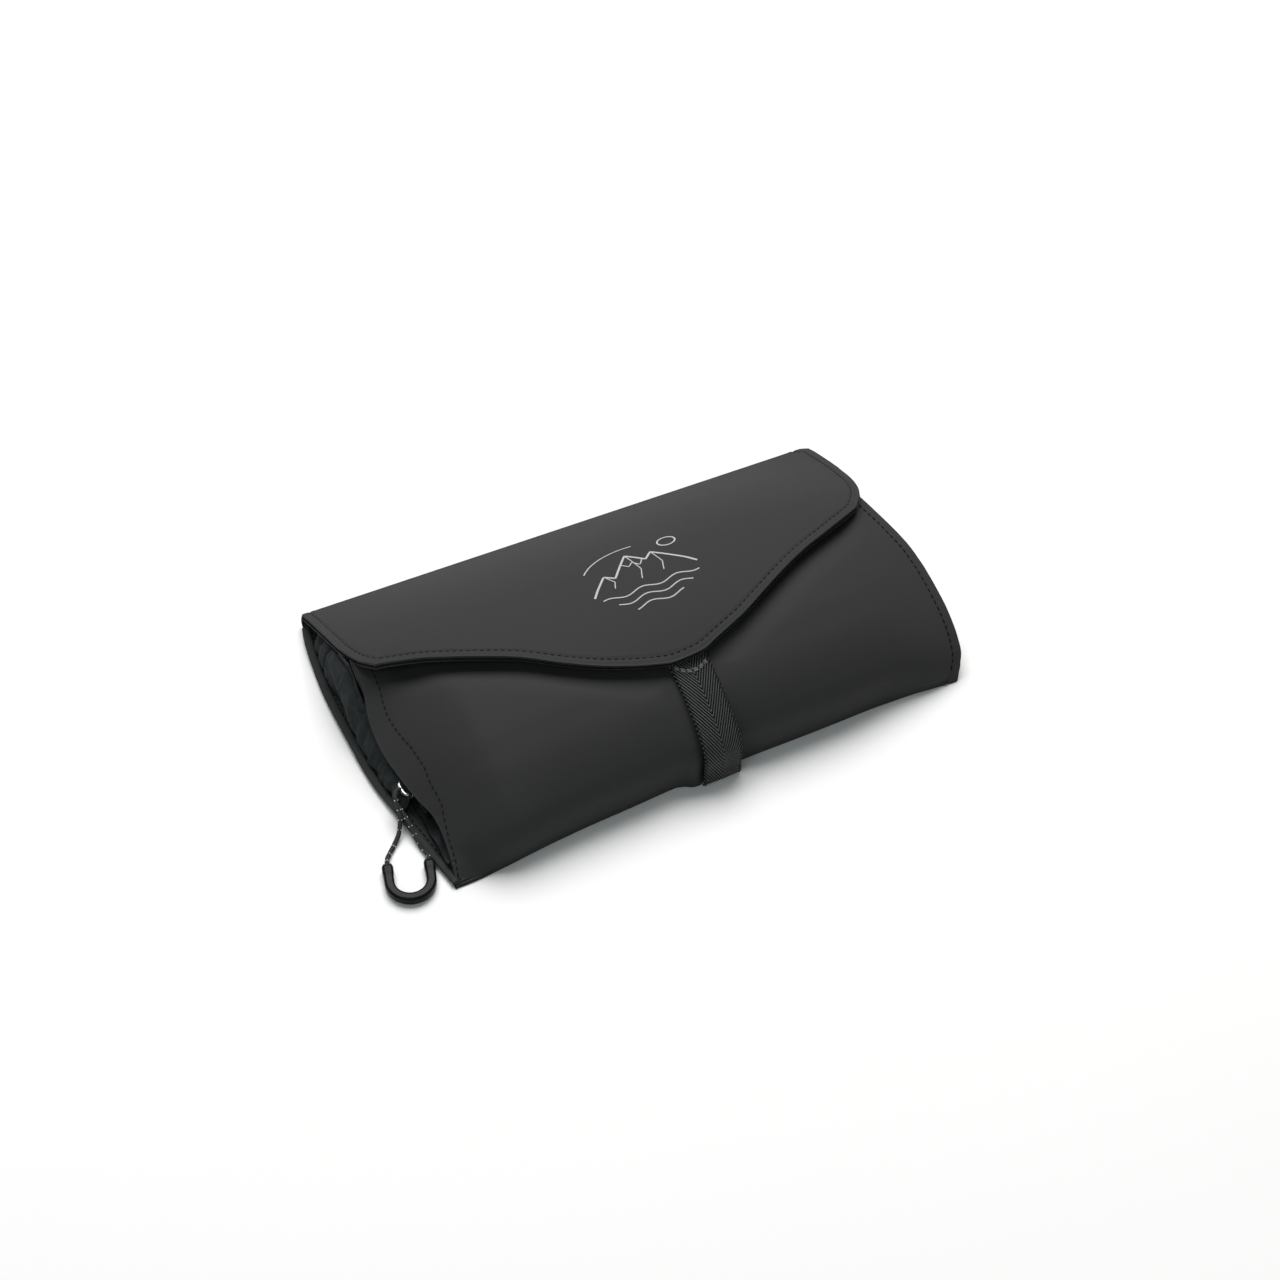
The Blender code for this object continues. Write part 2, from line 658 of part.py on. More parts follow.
def make_front(front_wall, front_top):
    bend = FRONT.distance_at(FRONT_BEND_Y, backwards=True)
    stations = [-121, -117, -112, -107, -102, -97, -85, -70, -50, -25, 0, 25, 50, 70, 85, 98,
                110, 121]
    parts = (("front_wall", 0.0, bend - GAP, 9, front_wall),
             ("front_top", bend + GAP, FRONT.length, 9, front_top))
    for name, start, end, rows, body in parts:
        for layer, depth, thickness, finish in (("_shell", 0.0, SHELL, "coated_fabric"),
                                                ("_lining", SHELL + GAP, LINING,
                                                 "lining_fabric")):
            trim = 2.5 if depth and name == "front_wall" else 0.0
            places = [x for x in stations if not depth or abs(x) < LINING_HALF_LENGTH]
            columns = drape(FRONT, places, lambda x: start + trim, lambda x: end - trim,
                            rows, front_sag, FRONT_SIDE[0][1])
            add_sheet(name + layer, places, columns, depth, thickness, -1, finish, body)
    landing = [FRONT.at(distance) for distance in LANDING]
    landing = shift_inwards(landing, GAP + PATCH_THICKNESS / 2, 1)
    add_ribbon("strap_loop_patch", landing, PATCH_THICKNESS, PATCH_SPAN, "touch_fastener",
               front_wall)


def make_lower_pouch(body):
    face_low = LOWER_BOTTOM - GAP - FACE
    add_pouch("lower", LOWER_HALF_LENGTH, LOWER_FRONT, LOWER_REAR, level(LOWER_BOTTOM),
              front_underside, face_low, LOWER_REAR - FACE_BORDER / 2, body)
    x, z = LOWER_ZIP_X, LOWER_ZIP_Z
    span = (LOWER_ZIP_FRONT, LOWER_ZIP_REAR)
    inner = -LOWER_HALF_LENGTH - 1.5 * GAP
    upper = [(x, z + 0.9), (x, z + 2.6), (x + 1.2, z + 3.4), (x + 9.0, z + 7.0),
             (inner - 0.6, LOWER_BOTTOM), (inner - 0.5, LOWER_BOTTOM + 5.0)]
    lower = [(x, z - 0.9), (x, z - 4.0), (x + 1.0, z - 5.0), (x + 2.4, z - 4.0),
             (x + 3.2, z + 0.5), (x + 6.5, z + 4.5), (inner - 0.6, face_low - 0.6)]
    for name, path in (("upper", upper), ("lower", lower)):
        add_ribbon("lower_zip_tape_" + name, path, TAPE, span, "zip_tape", body, along="Y")
    add_block("lower_zip_coil", (x - 0.9, span[0], z - 0.6), (x + 0.5, span[1], z + 0.6),
              "zip_coil", body)


def make_lower_slider(body):
    def place(along, across, out):
        return (LOWER_ZIP_X - TAPE / 2 - out, LOWER_SLIDER_Y + along, LOWER_ZIP_Z + across)

    add_slider("lower", place, body)


def pull_point(along, across, height):
    """A point of the moulded pull: along towards its bend, across it, and above the table."""
    cosine, sine = math.cos(PULL_TURN), math.sin(PULL_TURN)
    x, y = PULL_CENTRE
    return Vector((x + across * cosine + along * sine, y + across * sine - along * cosine, height))


def add_rod(name, path, radius, sides, finish, body):
    """A rod of round section along a path that lies level."""
    points = []
    for index, point in enumerate(path):
        run = (path[min(index + 1, len(path) - 1)] - path[max(index - 1, 0)]).normalized()
        beside = Vector((-run.y, run.x, 0.0))
        for side in range(sides):
            angle = 2 * math.pi * (side + 0.5) / sides
            points.append(point + beside * radius * math.cos(angle)
                          + Vector((0.0, 0.0, radius * math.sin(angle))))
    faces = [tuple(range(sides)), tuple(range(len(points) - 1, len(points) - sides - 1, -1))]
    for ring in range(len(path) - 1):
        for side in range(sides):
            after = (side + 1) % sides
            faces.append((ring * sides + side, ring * sides + after,
                          (ring + 1) * sides + after, (ring + 1) * sides + side))
    return add_object(name, points, faces, finish, body)


def make_pull(body):
    radius = PULL_SPREAD / 2
    height = PULL_ROD / 2 * math.cos(math.pi / 8)
    path = [pull_point(-PULL_ARM, -radius, height), pull_point(-PULL_ARM / 2, -radius, height)]
    path += [pull_point(radius * math.sin(angle), -radius * math.cos(angle), height)
             for angle in (math.pi * step / 12 for step in range(13))]
    path += [pull_point(-PULL_ARM / 2, radius, height), pull_point(-PULL_ARM, radius, height)]
    add_rod("pull_end", path, PULL_ROD / 2, 8, "moulded_plastic", body)

    left_start = pull_point(-PULL_ARM - GAP, -radius, height)
    right_start = pull_point(-PULL_ARM - GAP, radius, height)
    bar = Vector(BRIDGE_BAR_CENTRE)
    turn = BRIDGE_BAR / 2 + CORD_DIAMETER / 2 + 0.35
    left = [left_start, pull_point(-PULL_ARM - 4.0, -radius + 0.4, 1.8), (-139.0, -53.2, 1.3),
            (-134.8, -49.4, 1.4), (-130.4, -45.3, 3.0), (-127.6, -40.2, 7.2),
            bar + Vector((-2.6, -2.6, turn - 0.6))]
    loop = [bar + Vector((-turn * math.sin(angle), 0.0, turn * math.cos(angle)))
            for angle in (math.radians(degrees) for degrees in (20, -30, -90, -150, -200))]
    right = [bar + Vector((-2.4, -3.0, -turn)), (-125.4, -42.6, 5.6), (-125.2, -49.0, 3.2),
             (-124.9, -55.0, 1.8), pull_point(-PULL_ARM - 4.0, radius - 0.2, 1.9), right_start]
    add_cord("pull_cord", smooth_through(left + loop + right, steps=3), CORD_DIAMETER, "cord",
             body)


def build():
    base = Body("base")
    flap = Body("flap", (0.0, *FLAP_HINGE), base)
    flap_tip = Body("flap_tip", (0.0, *FLAP_BEND_HINGE), flap)
    strap = Body("strap", (0.0, *STRAP_HINGE), flap_tip)
    front_wall = Body("front_wall", (0.0, *FRONT_HINGE), base)
    front_top = Body("front_top", (0.0, *FRONT_BEND_HINGE), front_wall)
    hook = Body("hook", (0.0, *HOOK_HINGE), base)
    upper_slider = Body("upper_slider", (UPPER_SLIDER_X, UPPER_ZIP_Y, UPPER_TOP), base)
    lower_slider = Body("lower_slider", (LOWER_ZIP_X, LOWER_SLIDER_Y, LOWER_ZIP_Z), front_top)
    pull = Body("pull", BRIDGE_BAR_CENTRE, lower_slider)

    make_base(base)
    tape_top = make_upper_pouch(base)
    make_upper_slider(upper_slider, tape_top)
    make_hook_tab(base)
    make_hook(hook)
    make_flap(flap, flap_tip)
    make_strap(strap)
    make_front(front_wall, front_top)
    make_lower_pouch(front_top)
    make_lower_slider(lower_slider)
    make_pull(pull)
    bpy.context.view_layer.update()


for leftover in list(bpy.data.objects):
    bpy.data.objects.remove(leftover, do_unlink=True)

FLAP = SideView(FLAP_SIDE)
FRONT = SideView(FRONT_SIDE)
STRAP_SPAN = (TIP_X - STRAP_WIDTH / 2, TIP_X + STRAP_WIDTH / 2)
PATCH_SPAN = (TIP_X - PATCH_WIDTH / 2, TIP_X + PATCH_WIDTH / 2)
BRIDGE_BAR_CENTRE = (LOWER_ZIP_X - TAPE / 2 - 2 * GAP - SLIDER_SKIRT - SLIDER_PLATE
                     - BRIDGE_HEIGHT + BRIDGE_BAR / 2, LOWER_SLIDER_Y, LOWER_ZIP_Z)
MATERIALS = {name: make_material(name, *look) for name, look in FINISHES.items()}

build()
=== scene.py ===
"""Looks of a rolled-up hanging toiletry bag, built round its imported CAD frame.

Lengths are in millimetres until a mesh is made; MM turns them into metres.
+X runs along the bag, -Y is the side where the strap comes down, and +Z is up.
"""
import math

import bmesh
import bpy
import numpy as np
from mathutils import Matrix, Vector, noise


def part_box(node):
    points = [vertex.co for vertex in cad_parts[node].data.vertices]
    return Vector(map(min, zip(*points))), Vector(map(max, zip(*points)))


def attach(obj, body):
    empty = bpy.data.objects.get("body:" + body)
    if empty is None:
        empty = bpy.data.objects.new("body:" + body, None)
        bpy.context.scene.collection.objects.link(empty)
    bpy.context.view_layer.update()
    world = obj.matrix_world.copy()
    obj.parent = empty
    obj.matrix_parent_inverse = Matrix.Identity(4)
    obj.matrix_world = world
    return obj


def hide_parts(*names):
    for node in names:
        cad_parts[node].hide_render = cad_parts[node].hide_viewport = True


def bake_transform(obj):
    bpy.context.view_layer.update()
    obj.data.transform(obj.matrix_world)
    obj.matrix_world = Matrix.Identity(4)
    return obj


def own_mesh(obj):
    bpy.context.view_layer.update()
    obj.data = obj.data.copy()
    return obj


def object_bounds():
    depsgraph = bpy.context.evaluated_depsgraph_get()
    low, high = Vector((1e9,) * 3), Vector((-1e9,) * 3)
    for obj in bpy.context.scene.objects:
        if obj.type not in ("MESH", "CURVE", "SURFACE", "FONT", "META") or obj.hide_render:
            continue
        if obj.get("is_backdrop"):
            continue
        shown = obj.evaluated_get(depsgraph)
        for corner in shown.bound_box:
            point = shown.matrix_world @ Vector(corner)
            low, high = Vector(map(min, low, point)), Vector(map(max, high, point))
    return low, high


MM = 0.001
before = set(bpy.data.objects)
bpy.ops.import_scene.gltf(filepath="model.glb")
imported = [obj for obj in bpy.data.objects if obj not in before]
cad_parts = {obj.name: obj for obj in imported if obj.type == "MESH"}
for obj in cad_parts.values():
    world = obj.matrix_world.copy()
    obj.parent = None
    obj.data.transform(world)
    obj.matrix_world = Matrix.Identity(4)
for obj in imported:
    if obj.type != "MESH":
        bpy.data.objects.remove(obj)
cad_low, cad_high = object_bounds()


def box_mm(node):
    """Lowest and highest corner of a CAD node."""
    low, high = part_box(node)
    return np.array(low) / MM, np.array(high) / MM


BASE_LOW, BASE_HIGH = box_mm("base_shell")
HALF = BASE_HIGH[0]

# Thickness of each cloth, its rim band painted lighter as a highlight, the turned-over hem and its
# seam
SHELL = 1.1
LINING = 0.7
GUSSET = 0.6
WEBBING = 1.0
RIM_HIGHLIGHT_WIDTH = 1.2
HEM_WIDTH = 4.6
HEM_RISE = 0.11
SEAM_INSET = HEM_WIDTH - 1.1
SEAM_DIP = 0.42
PUCKER = 0.10

# Flap: side view from the rear fold to the tip, and its reach over the cloth at places along X
FLAP_SIDE = [(79.0, 7.5), (64.0, 19.0), (48.0, 30.0), (32.0, 39.0), (16.0, 46.0),
             (0.0, 50.3), (-15.0, 51.8), (-30.0, 51.0), (-42.0, 48.8), (-50.0, 46.2)]
FLAP_EDGE = [(-113.1, 75.2), (-110.0, 76.4), (-105.8, 79.0), (-95.5, 85.6), (-86.4, 92.3),
             (-74.4, 100.4), (-59.8, 109.4), (-46.1, 119.0), (-32.2, 127.2), (-17.4, 133.6),
             (-5.5, 137.4), (-1.0, 138.2), (5.3, 138.2), (12.0, 137.8), (15.8, 136.8),
             (19.5, 135.3), (28.9, 131.8), (38.5, 128.0), (59.7, 117.3), (75.3, 109.7),
             (89.5, 103.6), (104.0, 96.6), (110.0, 93.2), (112.8, 91.0)]
FLAP_LEFT = [(0.0, -120.4), (24.0, -120.5), (45.0, -120.2), (52.5, -119.8), (63.0, -118.2),
             (68.6, -116.6), (73.0, -114.3), (75.2, -113.1)]
FLAP_RIGHT = [(0.0, 118.6), (2.5, 120.6), (6.0, 121.7), (33.0, 121.7), (55.0, 121.5),
              (66.0, 121.2), (75.0, 120.0), (82.0, 117.9), (87.5, 115.2), (91.0, 112.8)]
FLAP_CORNER = 1.2
FLAP_SAG = 0.20
FLAP_SAG_RUN = 64.0
FLAP_TIP_DROOP = 0.4
FLAP_REAR_SKEW = 17.2
FLAP_REAR_LIFT = 6.4

# Front panel: side views in the middle and at both borders, from the fold up to its hidden edge
FRONT_START = 5.6
FRONT_SIDE = [(-82.0, FRONT_START), (-82.3, 11.0), (-81.3, 18.0), (-78.0, 24.0), (-72.5, 29.2),
              (-66.0, 34.0), (-58.0, 38.8), (-50.0, 42.0), (-42.0, 44.5), (-30.0, 46.5),
              (-15.0, 47.0), (0.0, 45.3), (12.0, 42.0), (21.0, 37.8)]
FRONT_LEFT = [(-118.3, -72.0, FRONT_START), (-117.0, -61.0, 10.3), (-117.0, -51.0, 13.3),
              (-119.4, -41.0, 14.2), (-121.5, -29.0, 15.2), (-123.0, -15.0, 16.5),
              (-122.8, -3.0, 18.5), (-121.5, 6.0, 21.5), (-119.5, 13.0, 25.0),
              (-119.5, 20.0, 30.0), (-119.0, 26.0, 33.0)]
FRONT_RIGHT = [(124.6, -75.3, FRONT_START), (127.4, -69.0, 12.0), (128.4, -52.0, 22.0),
               (126.6, -25.0, 31.0), (120.6, 5.0, 34.0), (117.6, 21.0, 32.0)]
FRONT_SAG = 0.31
FRONT_SAG_RUN = 70.0
FRONT_HALF = HALF + 1
LEFT_MARGIN = -88.0
RIGHT_MARGIN = 60.0
SAG_START = 50.0

# The front's grid: start, end and step of its columns along X, and its number of rows
FRONT_COLUMNS = ((-121.0, -108.0, 0.55), (-108.0, -96.0, 1.2), (-96.0, -12.0, 3.0),
                 (-12.0, 22.0, 1.5), (22.0, 108.0, 3.0), (108.0, 121.01, 0.55))
FRONT_ROWS = 96

# The front's seams: distance in from the left border at places along Y, and from the right one
FRONT_SEAM_LEFT = [(-80.0, 1.8), (-61.0, 2.2), (-51.0, 4.0), (-44.0, 6.5), (-32.0, 10.0),
                   (-25.0, 12.5), (-15.0, 13.0), (0.0, 10.0), (15.0, 7.5), (30.0, 6.5)]
FRONT_SEAM_RIGHT = 4.6

# The front is drawn in under the flap's edge and under the strap
TUCK_DEPTH = 2.4
TUCK_WIDTH = 15.0
STRAP_DENT = 1.7
STRAP_DENT_FADE = 9.0

# Front fold: rows of the turn, the front's ends along X and the fold's own where it meets the
# table, the line along which it meets it, and the rows that go on under the bag
FOLD_ROWS = 10
FRONT_ENDS = (-121.0, 121.0)
FOLD_ENDS = (-120.6, 121.4)
FOLD_FOOT = [(-121.0, -80.8), (-110.0, -80.8), (-95.7, -79.8), (-86.0, -78.8), (-76.0, -77.9),
             (-66.0, -77.2), (-56.7, -76.7), (-37.0, -76.1), (-18.0, -75.3),
             (-13.0, -75.8), (-8.5, -78.2), (-4.5, -78.4), (0.0, -75.4), (5.0, -74.8),
             (21.0, -74.6), (35.0, -74.9), (50.0, -75.2), (65.0, -75.3), (80.0, -75.4),
             (90.0, -75.9), (99.0, -76.4), (108.5, -77.5), (118.0, -78.6), (121.0, -78.7)]
UNDER_ROWS = (6.0, 3.0, 0.9)
TABLE_GAP = 0.35
UNDERSIDE = 0.5

# Base panel's two side edges, bulging outwards between the folds
BASE_LEFT = [(-120.6, -79.0), (-124.0, -57.0), (-127.0, -36.0), (-129.4, -14.0), (-129.4, 10.0),
             (-128.6, 33.0), (-126.8, 50.0), (-124.3, 66.0), (-121.0, 78.0)]
BASE_RIGHT = [(120.6, -79.0), (123.5, -60.0), (125.0, -35.0), (124.5, 0.0), (123.0, 35.0),
              (120.5, 60.0)]

# Strap and the ribs of its webbing
TIP_X = 5.0
STRAP_WIDTH = 17.0
RIB_SLOPE = 1.8
RIB_PITCH = 2.2

# Stitching
STITCH_PITCH = 3.0
STITCH_LENGTH = 2.1
STITCH_RADIUS = 0.26

SIDES = ("low_u", "high_u", "low_v", "high_v")

# ---------------------------------------------------------------- materials

class Nodes:
    """A short way to write a material's node tree."""

    def __init__(self, name):
        self.material = bpy.data.materials.new(name)
        self.material.use_nodes = True
        self.tree = self.material.node_tree
        self.shader = self.tree.nodes["Principled BSDF"]

    def add(self, kind, inputs=(), **settings):
        node = self.tree.nodes.new(kind)
        for name, value in settings.items():
            setattr(node, name, value)
        for name, value in dict(inputs).items():
            self.feed(node.inputs[name], value)
        return node

    def feed(self, socket, value):
        if isinstance(value, bpy.types.NodeSocket):
            self.tree.links.new(value, socket)
        else:
            socket.default_value = value

    def math(self, operation, first, second=0.0, third=0.0):
        node = self.add("ShaderNodeMath", operation=operation)
        for socket, value in zip(node.inputs, (first, second, third)):
            self.feed(socket, value)
        return node.outputs[0]

    def noise(self, vector, scale, detail=3.0, roughness=0.5):
        node = self.add("ShaderNodeTexNoise", {"Vector": vector, "Scale": scale,
                                               "Detail": detail, "Roughness": roughness})
        return node.outputs["Fac"]

    def wave(self, vector, scale, axis):
        node = self.add("ShaderNodeTexWave", {"Vector": vector, "Scale": scale},
                        bands_direction=axis)
        return node.outputs["Fac"]

    def spread(self, value, low, high):
        """Maps 0 to 1 onto low to high."""
        return self.math("MULTIPLY_ADD", value, high - low, low)

    def tone(self, colour, factor):
        """A colour multiplied by a factor from the nodes."""
        node = self.add("ShaderNodeVectorMath", operation="SCALE")
        self.feed(node.inputs[0], colour)
        self.feed(node.inputs["Scale"], factor)
        return node.outputs[0]

    def bump(self, height, distance, strength=1.0):
        node = self.add("ShaderNodeBump", {"Height": height, "Distance": distance,
                                           "Strength": strength})
        self.feed(self.shader.inputs["Normal"], node.outputs[0])

    def set(self, **inputs):
        for name, value in inputs.items():
            self.feed(self.shader.inputs[name.replace("_", " ")], value)


def cloth_material(name, colour, roughness, pitch, grain=0.05, mottling=0.05, relief=0.05):
    """Woven cloth: a plain weave of the given pitch in mm, over UVs that are in mm."""
    n = Nodes(name)
    uv = n.add("ShaderNodeUVMap", uv_map="Cloth").outputs[0]
    scale = 0.5 * math.pi / pitch / 5.0
    weave = n.math("MULTIPLY", n.wave(uv, scale, "X"), n.wave(uv, scale, "Y"))
    broad = n.noise(uv, 0.035, 3.0)
    fine = n.noise(uv, 1.3, 4.0, 0.65)
    edge = n.add("ShaderNodeAttribute", attribute_name="Edge").outputs["Fac"]
    shade = n.math("ADD", n.spread(broad, 1.0 - mottling, 1.0 + mottling),
                   n.spread(fine, -grain, grain))
    # Painted highlight: Edge lightens the cloth along its rim
    shade = n.math("ADD", shade, n.math("MULTIPLY", edge, 0.10))
    n.set(Base_Color=n.tone(colour, shade),
          Roughness=n.math("ADD", n.spread(fine, roughness - 0.05, roughness + 0.05),
                           n.spread(broad, -0.03, 0.03)),
          Specular_IOR_Level=0.05)
    n.bump(n.math("ADD", n.math("MULTIPLY", weave, 0.6), n.math("MULTIPLY", fine, 0.6)),
           relief * MM)
    return n.material


def herringbone_material(name, colour, roughness, rib):
    """Twill webbing: slanting ribs that meet in a V along the middle."""
    n = Nodes(name)
    uv = n.add("ShaderNodeUVMap", uv_map="Cloth").outputs[0]
    parts = n.add("ShaderNodeSeparateXYZ", {"Vector": uv})
    across = n.math("ABSOLUTE", parts.outputs["X"])
    along = n.math("MULTIPLY_ADD", across, RIB_SLOPE, parts.outputs["Y"])
    ribs = n.math("SINE", n.math("MULTIPLY", along, 2.0 * math.pi / rib))
    threads = n.math("SINE", n.math("MULTIPLY", parts.outputs["X"], 2.0 * math.pi / 0.62))
    fine = n.noise(uv, 1.8, 3.0, 0.7)
    height = n.math("MULTIPLY_ADD", threads, 0.18, ribs)
    # Painted shade and light: the ribs' grooves are darker and their crests lighter, following
    # their height
    shade = n.math("ADD", n.spread(height, 0.75, 2.15), n.spread(fine, -0.45, 0.45))
    n.set(Base_Color=n.tone(colour, shade), Roughness=roughness, Specular_IOR_Level=0.3)
    n.bump(height, 0.30 * MM)
    return n.material


def plastic_material(name, colour, roughness, scale=300.0, relief=0.02, shine=0.5):
    """Moulded plastic: a fine grain and slightly uneven gloss; scale is in waves per metre."""
    n = Nodes(name)
    place = n.add("ShaderNodeTexCoord").outputs["Object"]
    fine = n.noise(place, scale * 6, 3.0)
    broad = n.noise(place, scale, 2.0)
    n.set(Base_Color=n.tone(colour, n.spread(broad, 0.88, 1.12)),
          Roughness=n.spread(broad, roughness - 0.05, roughness + 0.07),
          Specular_IOR_Level=shine)
    n.bump(fine, relief * MM)
    return n.material


def metal_material(name, colour, roughness):
    """Plated casting, a little worn."""
    n = Nodes(name)
    place = n.add("ShaderNodeTexCoord").outputs["Object"]
    fine = n.noise(place, 2500.0, 3.0)
    broad = n.noise(place, 260.0, 2.0)
    n.set(Base_Color=n.tone(colour, n.spread(broad, 0.93, 1.05)), Metallic=1.0,
          Roughness=n.spread(broad, roughness - 0.05, roughness + 0.10))
    n.bump(fine, 0.01 * MM)
    return n.material


def cord_material(name, colour):
    """Braided sheath: two sets of crossing spirals over UVs of turn and length."""
    n = Nodes(name)
    uv = n.add("ShaderNodeUVMap", uv_map="Cloth").outputs[0]
    parts = n.add("ShaderNodeSeparateXYZ", {"Vector": uv})
    turn = n.math("MULTIPLY", parts.outputs["X"], 2.0 * math.pi * 4)
    length = n.math("MULTIPLY", parts.outputs["Y"], 2.0 * math.pi / 0.9)
    rising = n.math("SINE", n.math("ADD", turn, length))
    falling = n.math("SINE", n.math("SUBTRACT", turn, length))
    braid = n.math("MAXIMUM", rising, falling)
    fine = n.noise(n.add("ShaderNodeTexCoord").outputs["Object"], 2500.0, 3.0)
    # Painted shade and light: the braid's grooves are darker and its crests lighter
    shade = n.math("ADD", n.spread(braid, 0.9, 1.15), n.spread(fine, -0.15, 0.15))
    n.set(Base_Color=n.tone(colour, shade), Roughness=0.72)
    n.bump(braid, 0.08 * MM)
    return n.material


def net_material(name, colour, pitch):
    """Knitted net: solid threads round staggered open holes."""
    n = Nodes(name)
    uv = n.add("ShaderNodeUVMap", uv_map="Cloth").outputs[0]
    parts = n.add("ShaderNodeSeparateXYZ", {"Vector": uv})
    turn = 2.0 * math.pi / pitch
    across = n.math("COSINE", n.math("MULTIPLY", parts.outputs["X"], turn))
    along = n.math("COSINE", n.math("MULTIPLY", parts.outputs["Y"], turn * 0.62))
    hole = n.math("MULTIPLY", across, along)
    thread = n.math("LESS_THAN", hole, 0.30)
    fine = n.noise(uv, 1.6, 3.0)
    n.set(Base_Color=n.tone(colour, n.spread(fine, 0.8, 1.2)), Roughness=0.8, Alpha=thread)
    n.bump(n.math("SUBTRACT", 1.0, hole), 0.12 * MM)
    return n.material


M = {
    "shell": cloth_material("coated_cloth", (0.0405, 0.0406, 0.0409), 0.62, 0.45,
                            grain=0.10, mottling=0.03, relief=0.035),
    "lining": cloth_material("lining_cloth", (0.0230, 0.0258, 0.0272), 0.70, 0.35,
                             grain=0.14, mottling=0.08, relief=0.05),
    # Painted shade: the gusset cloth is darker and cooler than the shell, standing in for the
    # shade it lies in
    "gusset": cloth_material("gusset_cloth", (0.0260, 0.0300, 0.0315), 0.66, 0.40,
                             grain=0.12, mottling=0.06, relief=0.05),
    "binding": cloth_material("binding_tape", (0.0400, 0.0415, 0.0420), 0.75, 0.55,
                              grain=0.16, mottling=0.05, relief=0.10),
    "zip_tape": cloth_material("zip_tape_cloth", (0.018, 0.019, 0.019), 0.8, 0.50,
                               grain=0.2, relief=0.10),
    "fuzz": cloth_material("touch_fastener", (0.012, 0.012, 0.012), 0.95, 0.8, grain=0.35,
                           relief=0.3),
    "hem_thread": cloth_material("hem_thread", (0.0240, 0.0242, 0.0245), 0.6, 0.3, grain=0.2),
    "thread": cloth_material("sewing_thread", (0.0075, 0.0078, 0.0080), 0.6, 0.3, grain=0.2),
    "tack": cloth_material("bar_tack_thread", (0.170, 0.174, 0.176), 0.7, 0.3, grain=0.2),
    "fleck": cloth_material("reflective_thread", (0.80, 0.81, 0.82), 0.5, 0.3, grain=0.1),
    "print": cloth_material("printed_ink", (0.50, 0.50, 0.50), 0.6, 0.3, grain=0.1),
    "webbing": herringbone_material("strap_webbing_twill", (0.052, 0.054, 0.055), 0.70, RIB_PITCH),
    "net": net_material("net_cloth", (0.020, 0.021, 0.021), 2.1),
    "cord": cord_material("braided_cord", (0.016, 0.016, 0.017)),
    "pull": plastic_material("moulded_pull", (0.0060, 0.0061, 0.0063), 0.26, 200.0, 0.004,
                             shine=0.10),
    "hook": plastic_material("moulded_hook", (0.011, 0.011, 0.012), 0.38, 120.0, 0.03),
    "coil": plastic_material("zip_coil_plastic", (0.010, 0.010, 0.010), 0.42, 600.0),
    "metal": metal_material("slider_nickel", (0.92, 0.92, 0.93), 0.33),
    # Painted shade: near-black colour that stands in for the shade in the pull's dimples
    "hollow": plastic_material("hollow_painted_shade", (0.002, 0.002, 0.002), 0.9),
}


# ---------------------------------------------------------------- curves

def smooth_through(points, steps=8):
    """Points of a Catmull-Rom curve through the given points."""
    points = [np.array(point, float) for point in points]
    padded = [2 * points[0] - points[1]] + points + [2 * points[-1] - points[-2]]
    curve = []
    for before, start, end, after in zip(padded, padded[1:], padded[2:], padded[3:]):
        for step in range(steps):
            t = step / steps
            curve.append(0.5 * (2 * start + (end - before) * t
                                + (2 * before - 5 * start + 4 * end - after) * t ** 2
                                + (3 * start - before - 3 * end + after) * t ** 3))
    curve.append(points[-1])
    return np.array(curve)


def reach_along(path):
    """The distance from a path's start to each of its points."""
    return np.concatenate([[0.0], np.cumsum(np.linalg.norm(np.diff(path, axis=0), axis=1))])


def read_along(path, reach, places):
    """A path, or other values that go with its points, at distances from its start."""
    return np.stack([np.interp(places, reach, path[:, k]) for k in range(path.shape[1])],
                    axis=-1)


class Line:
    """A smooth curve that is read by the distance along it."""

    def __init__(self, points, steps=8):
        self.curve = smooth_through(points, steps)
        self.reach = reach_along(self.curve)
        self.length = self.reach[-1]

    def at(self, distance):
        return read_along(self.curve, self.reach, np.asarray(distance, float))

    def share(self, share):
        return self.at(np.asarray(share, float) * self.length)


def smoothstep(value):
    """0 below 0, 1 above 1, and a smooth rise between."""
    value = np.clip(value, 0.0, 1.0)
    return value * value * (3 - 2 * value)


def ripple(points, size, seed):
    """Smooth noise from -1 to 1 at each point of a grid; size is the width of a ripple in mm."""
    flat = points.reshape(-1, points.shape[-1])
    shift = Vector((seed * 17.3, seed * 5.9, seed * 11.1))
    values = [noise.noise(Vector(point) / size + shift) for point in flat]
    return np.array(values).reshape(points.shape[:-1])


def uneven(low, high, fine, coarse, start_band, end_band):
    """Places from low to high: fine steps inside the two bands, coarse ones between."""
    first = np.arange(low, low + start_band, fine)
    last = np.arange(high, high - end_band, -fine)[::-1]
    middle = np.linspace(low + start_band, high - end_band,
                         max(2, int((high - low - start_band - end_band) / coarse)))
    return np.concatenate([first, middle[(middle > first[-1] if len(first) else True)
                                         & (middle < last[0] if len(last) else True)], last])


# ---------------------------------------------------------------- meshes

def put(name, data):
    """A new object in the scene."""
    thing = bpy.data.objects.new(name, data)
    bpy.context.scene.collection.objects.link(thing)
    return thing


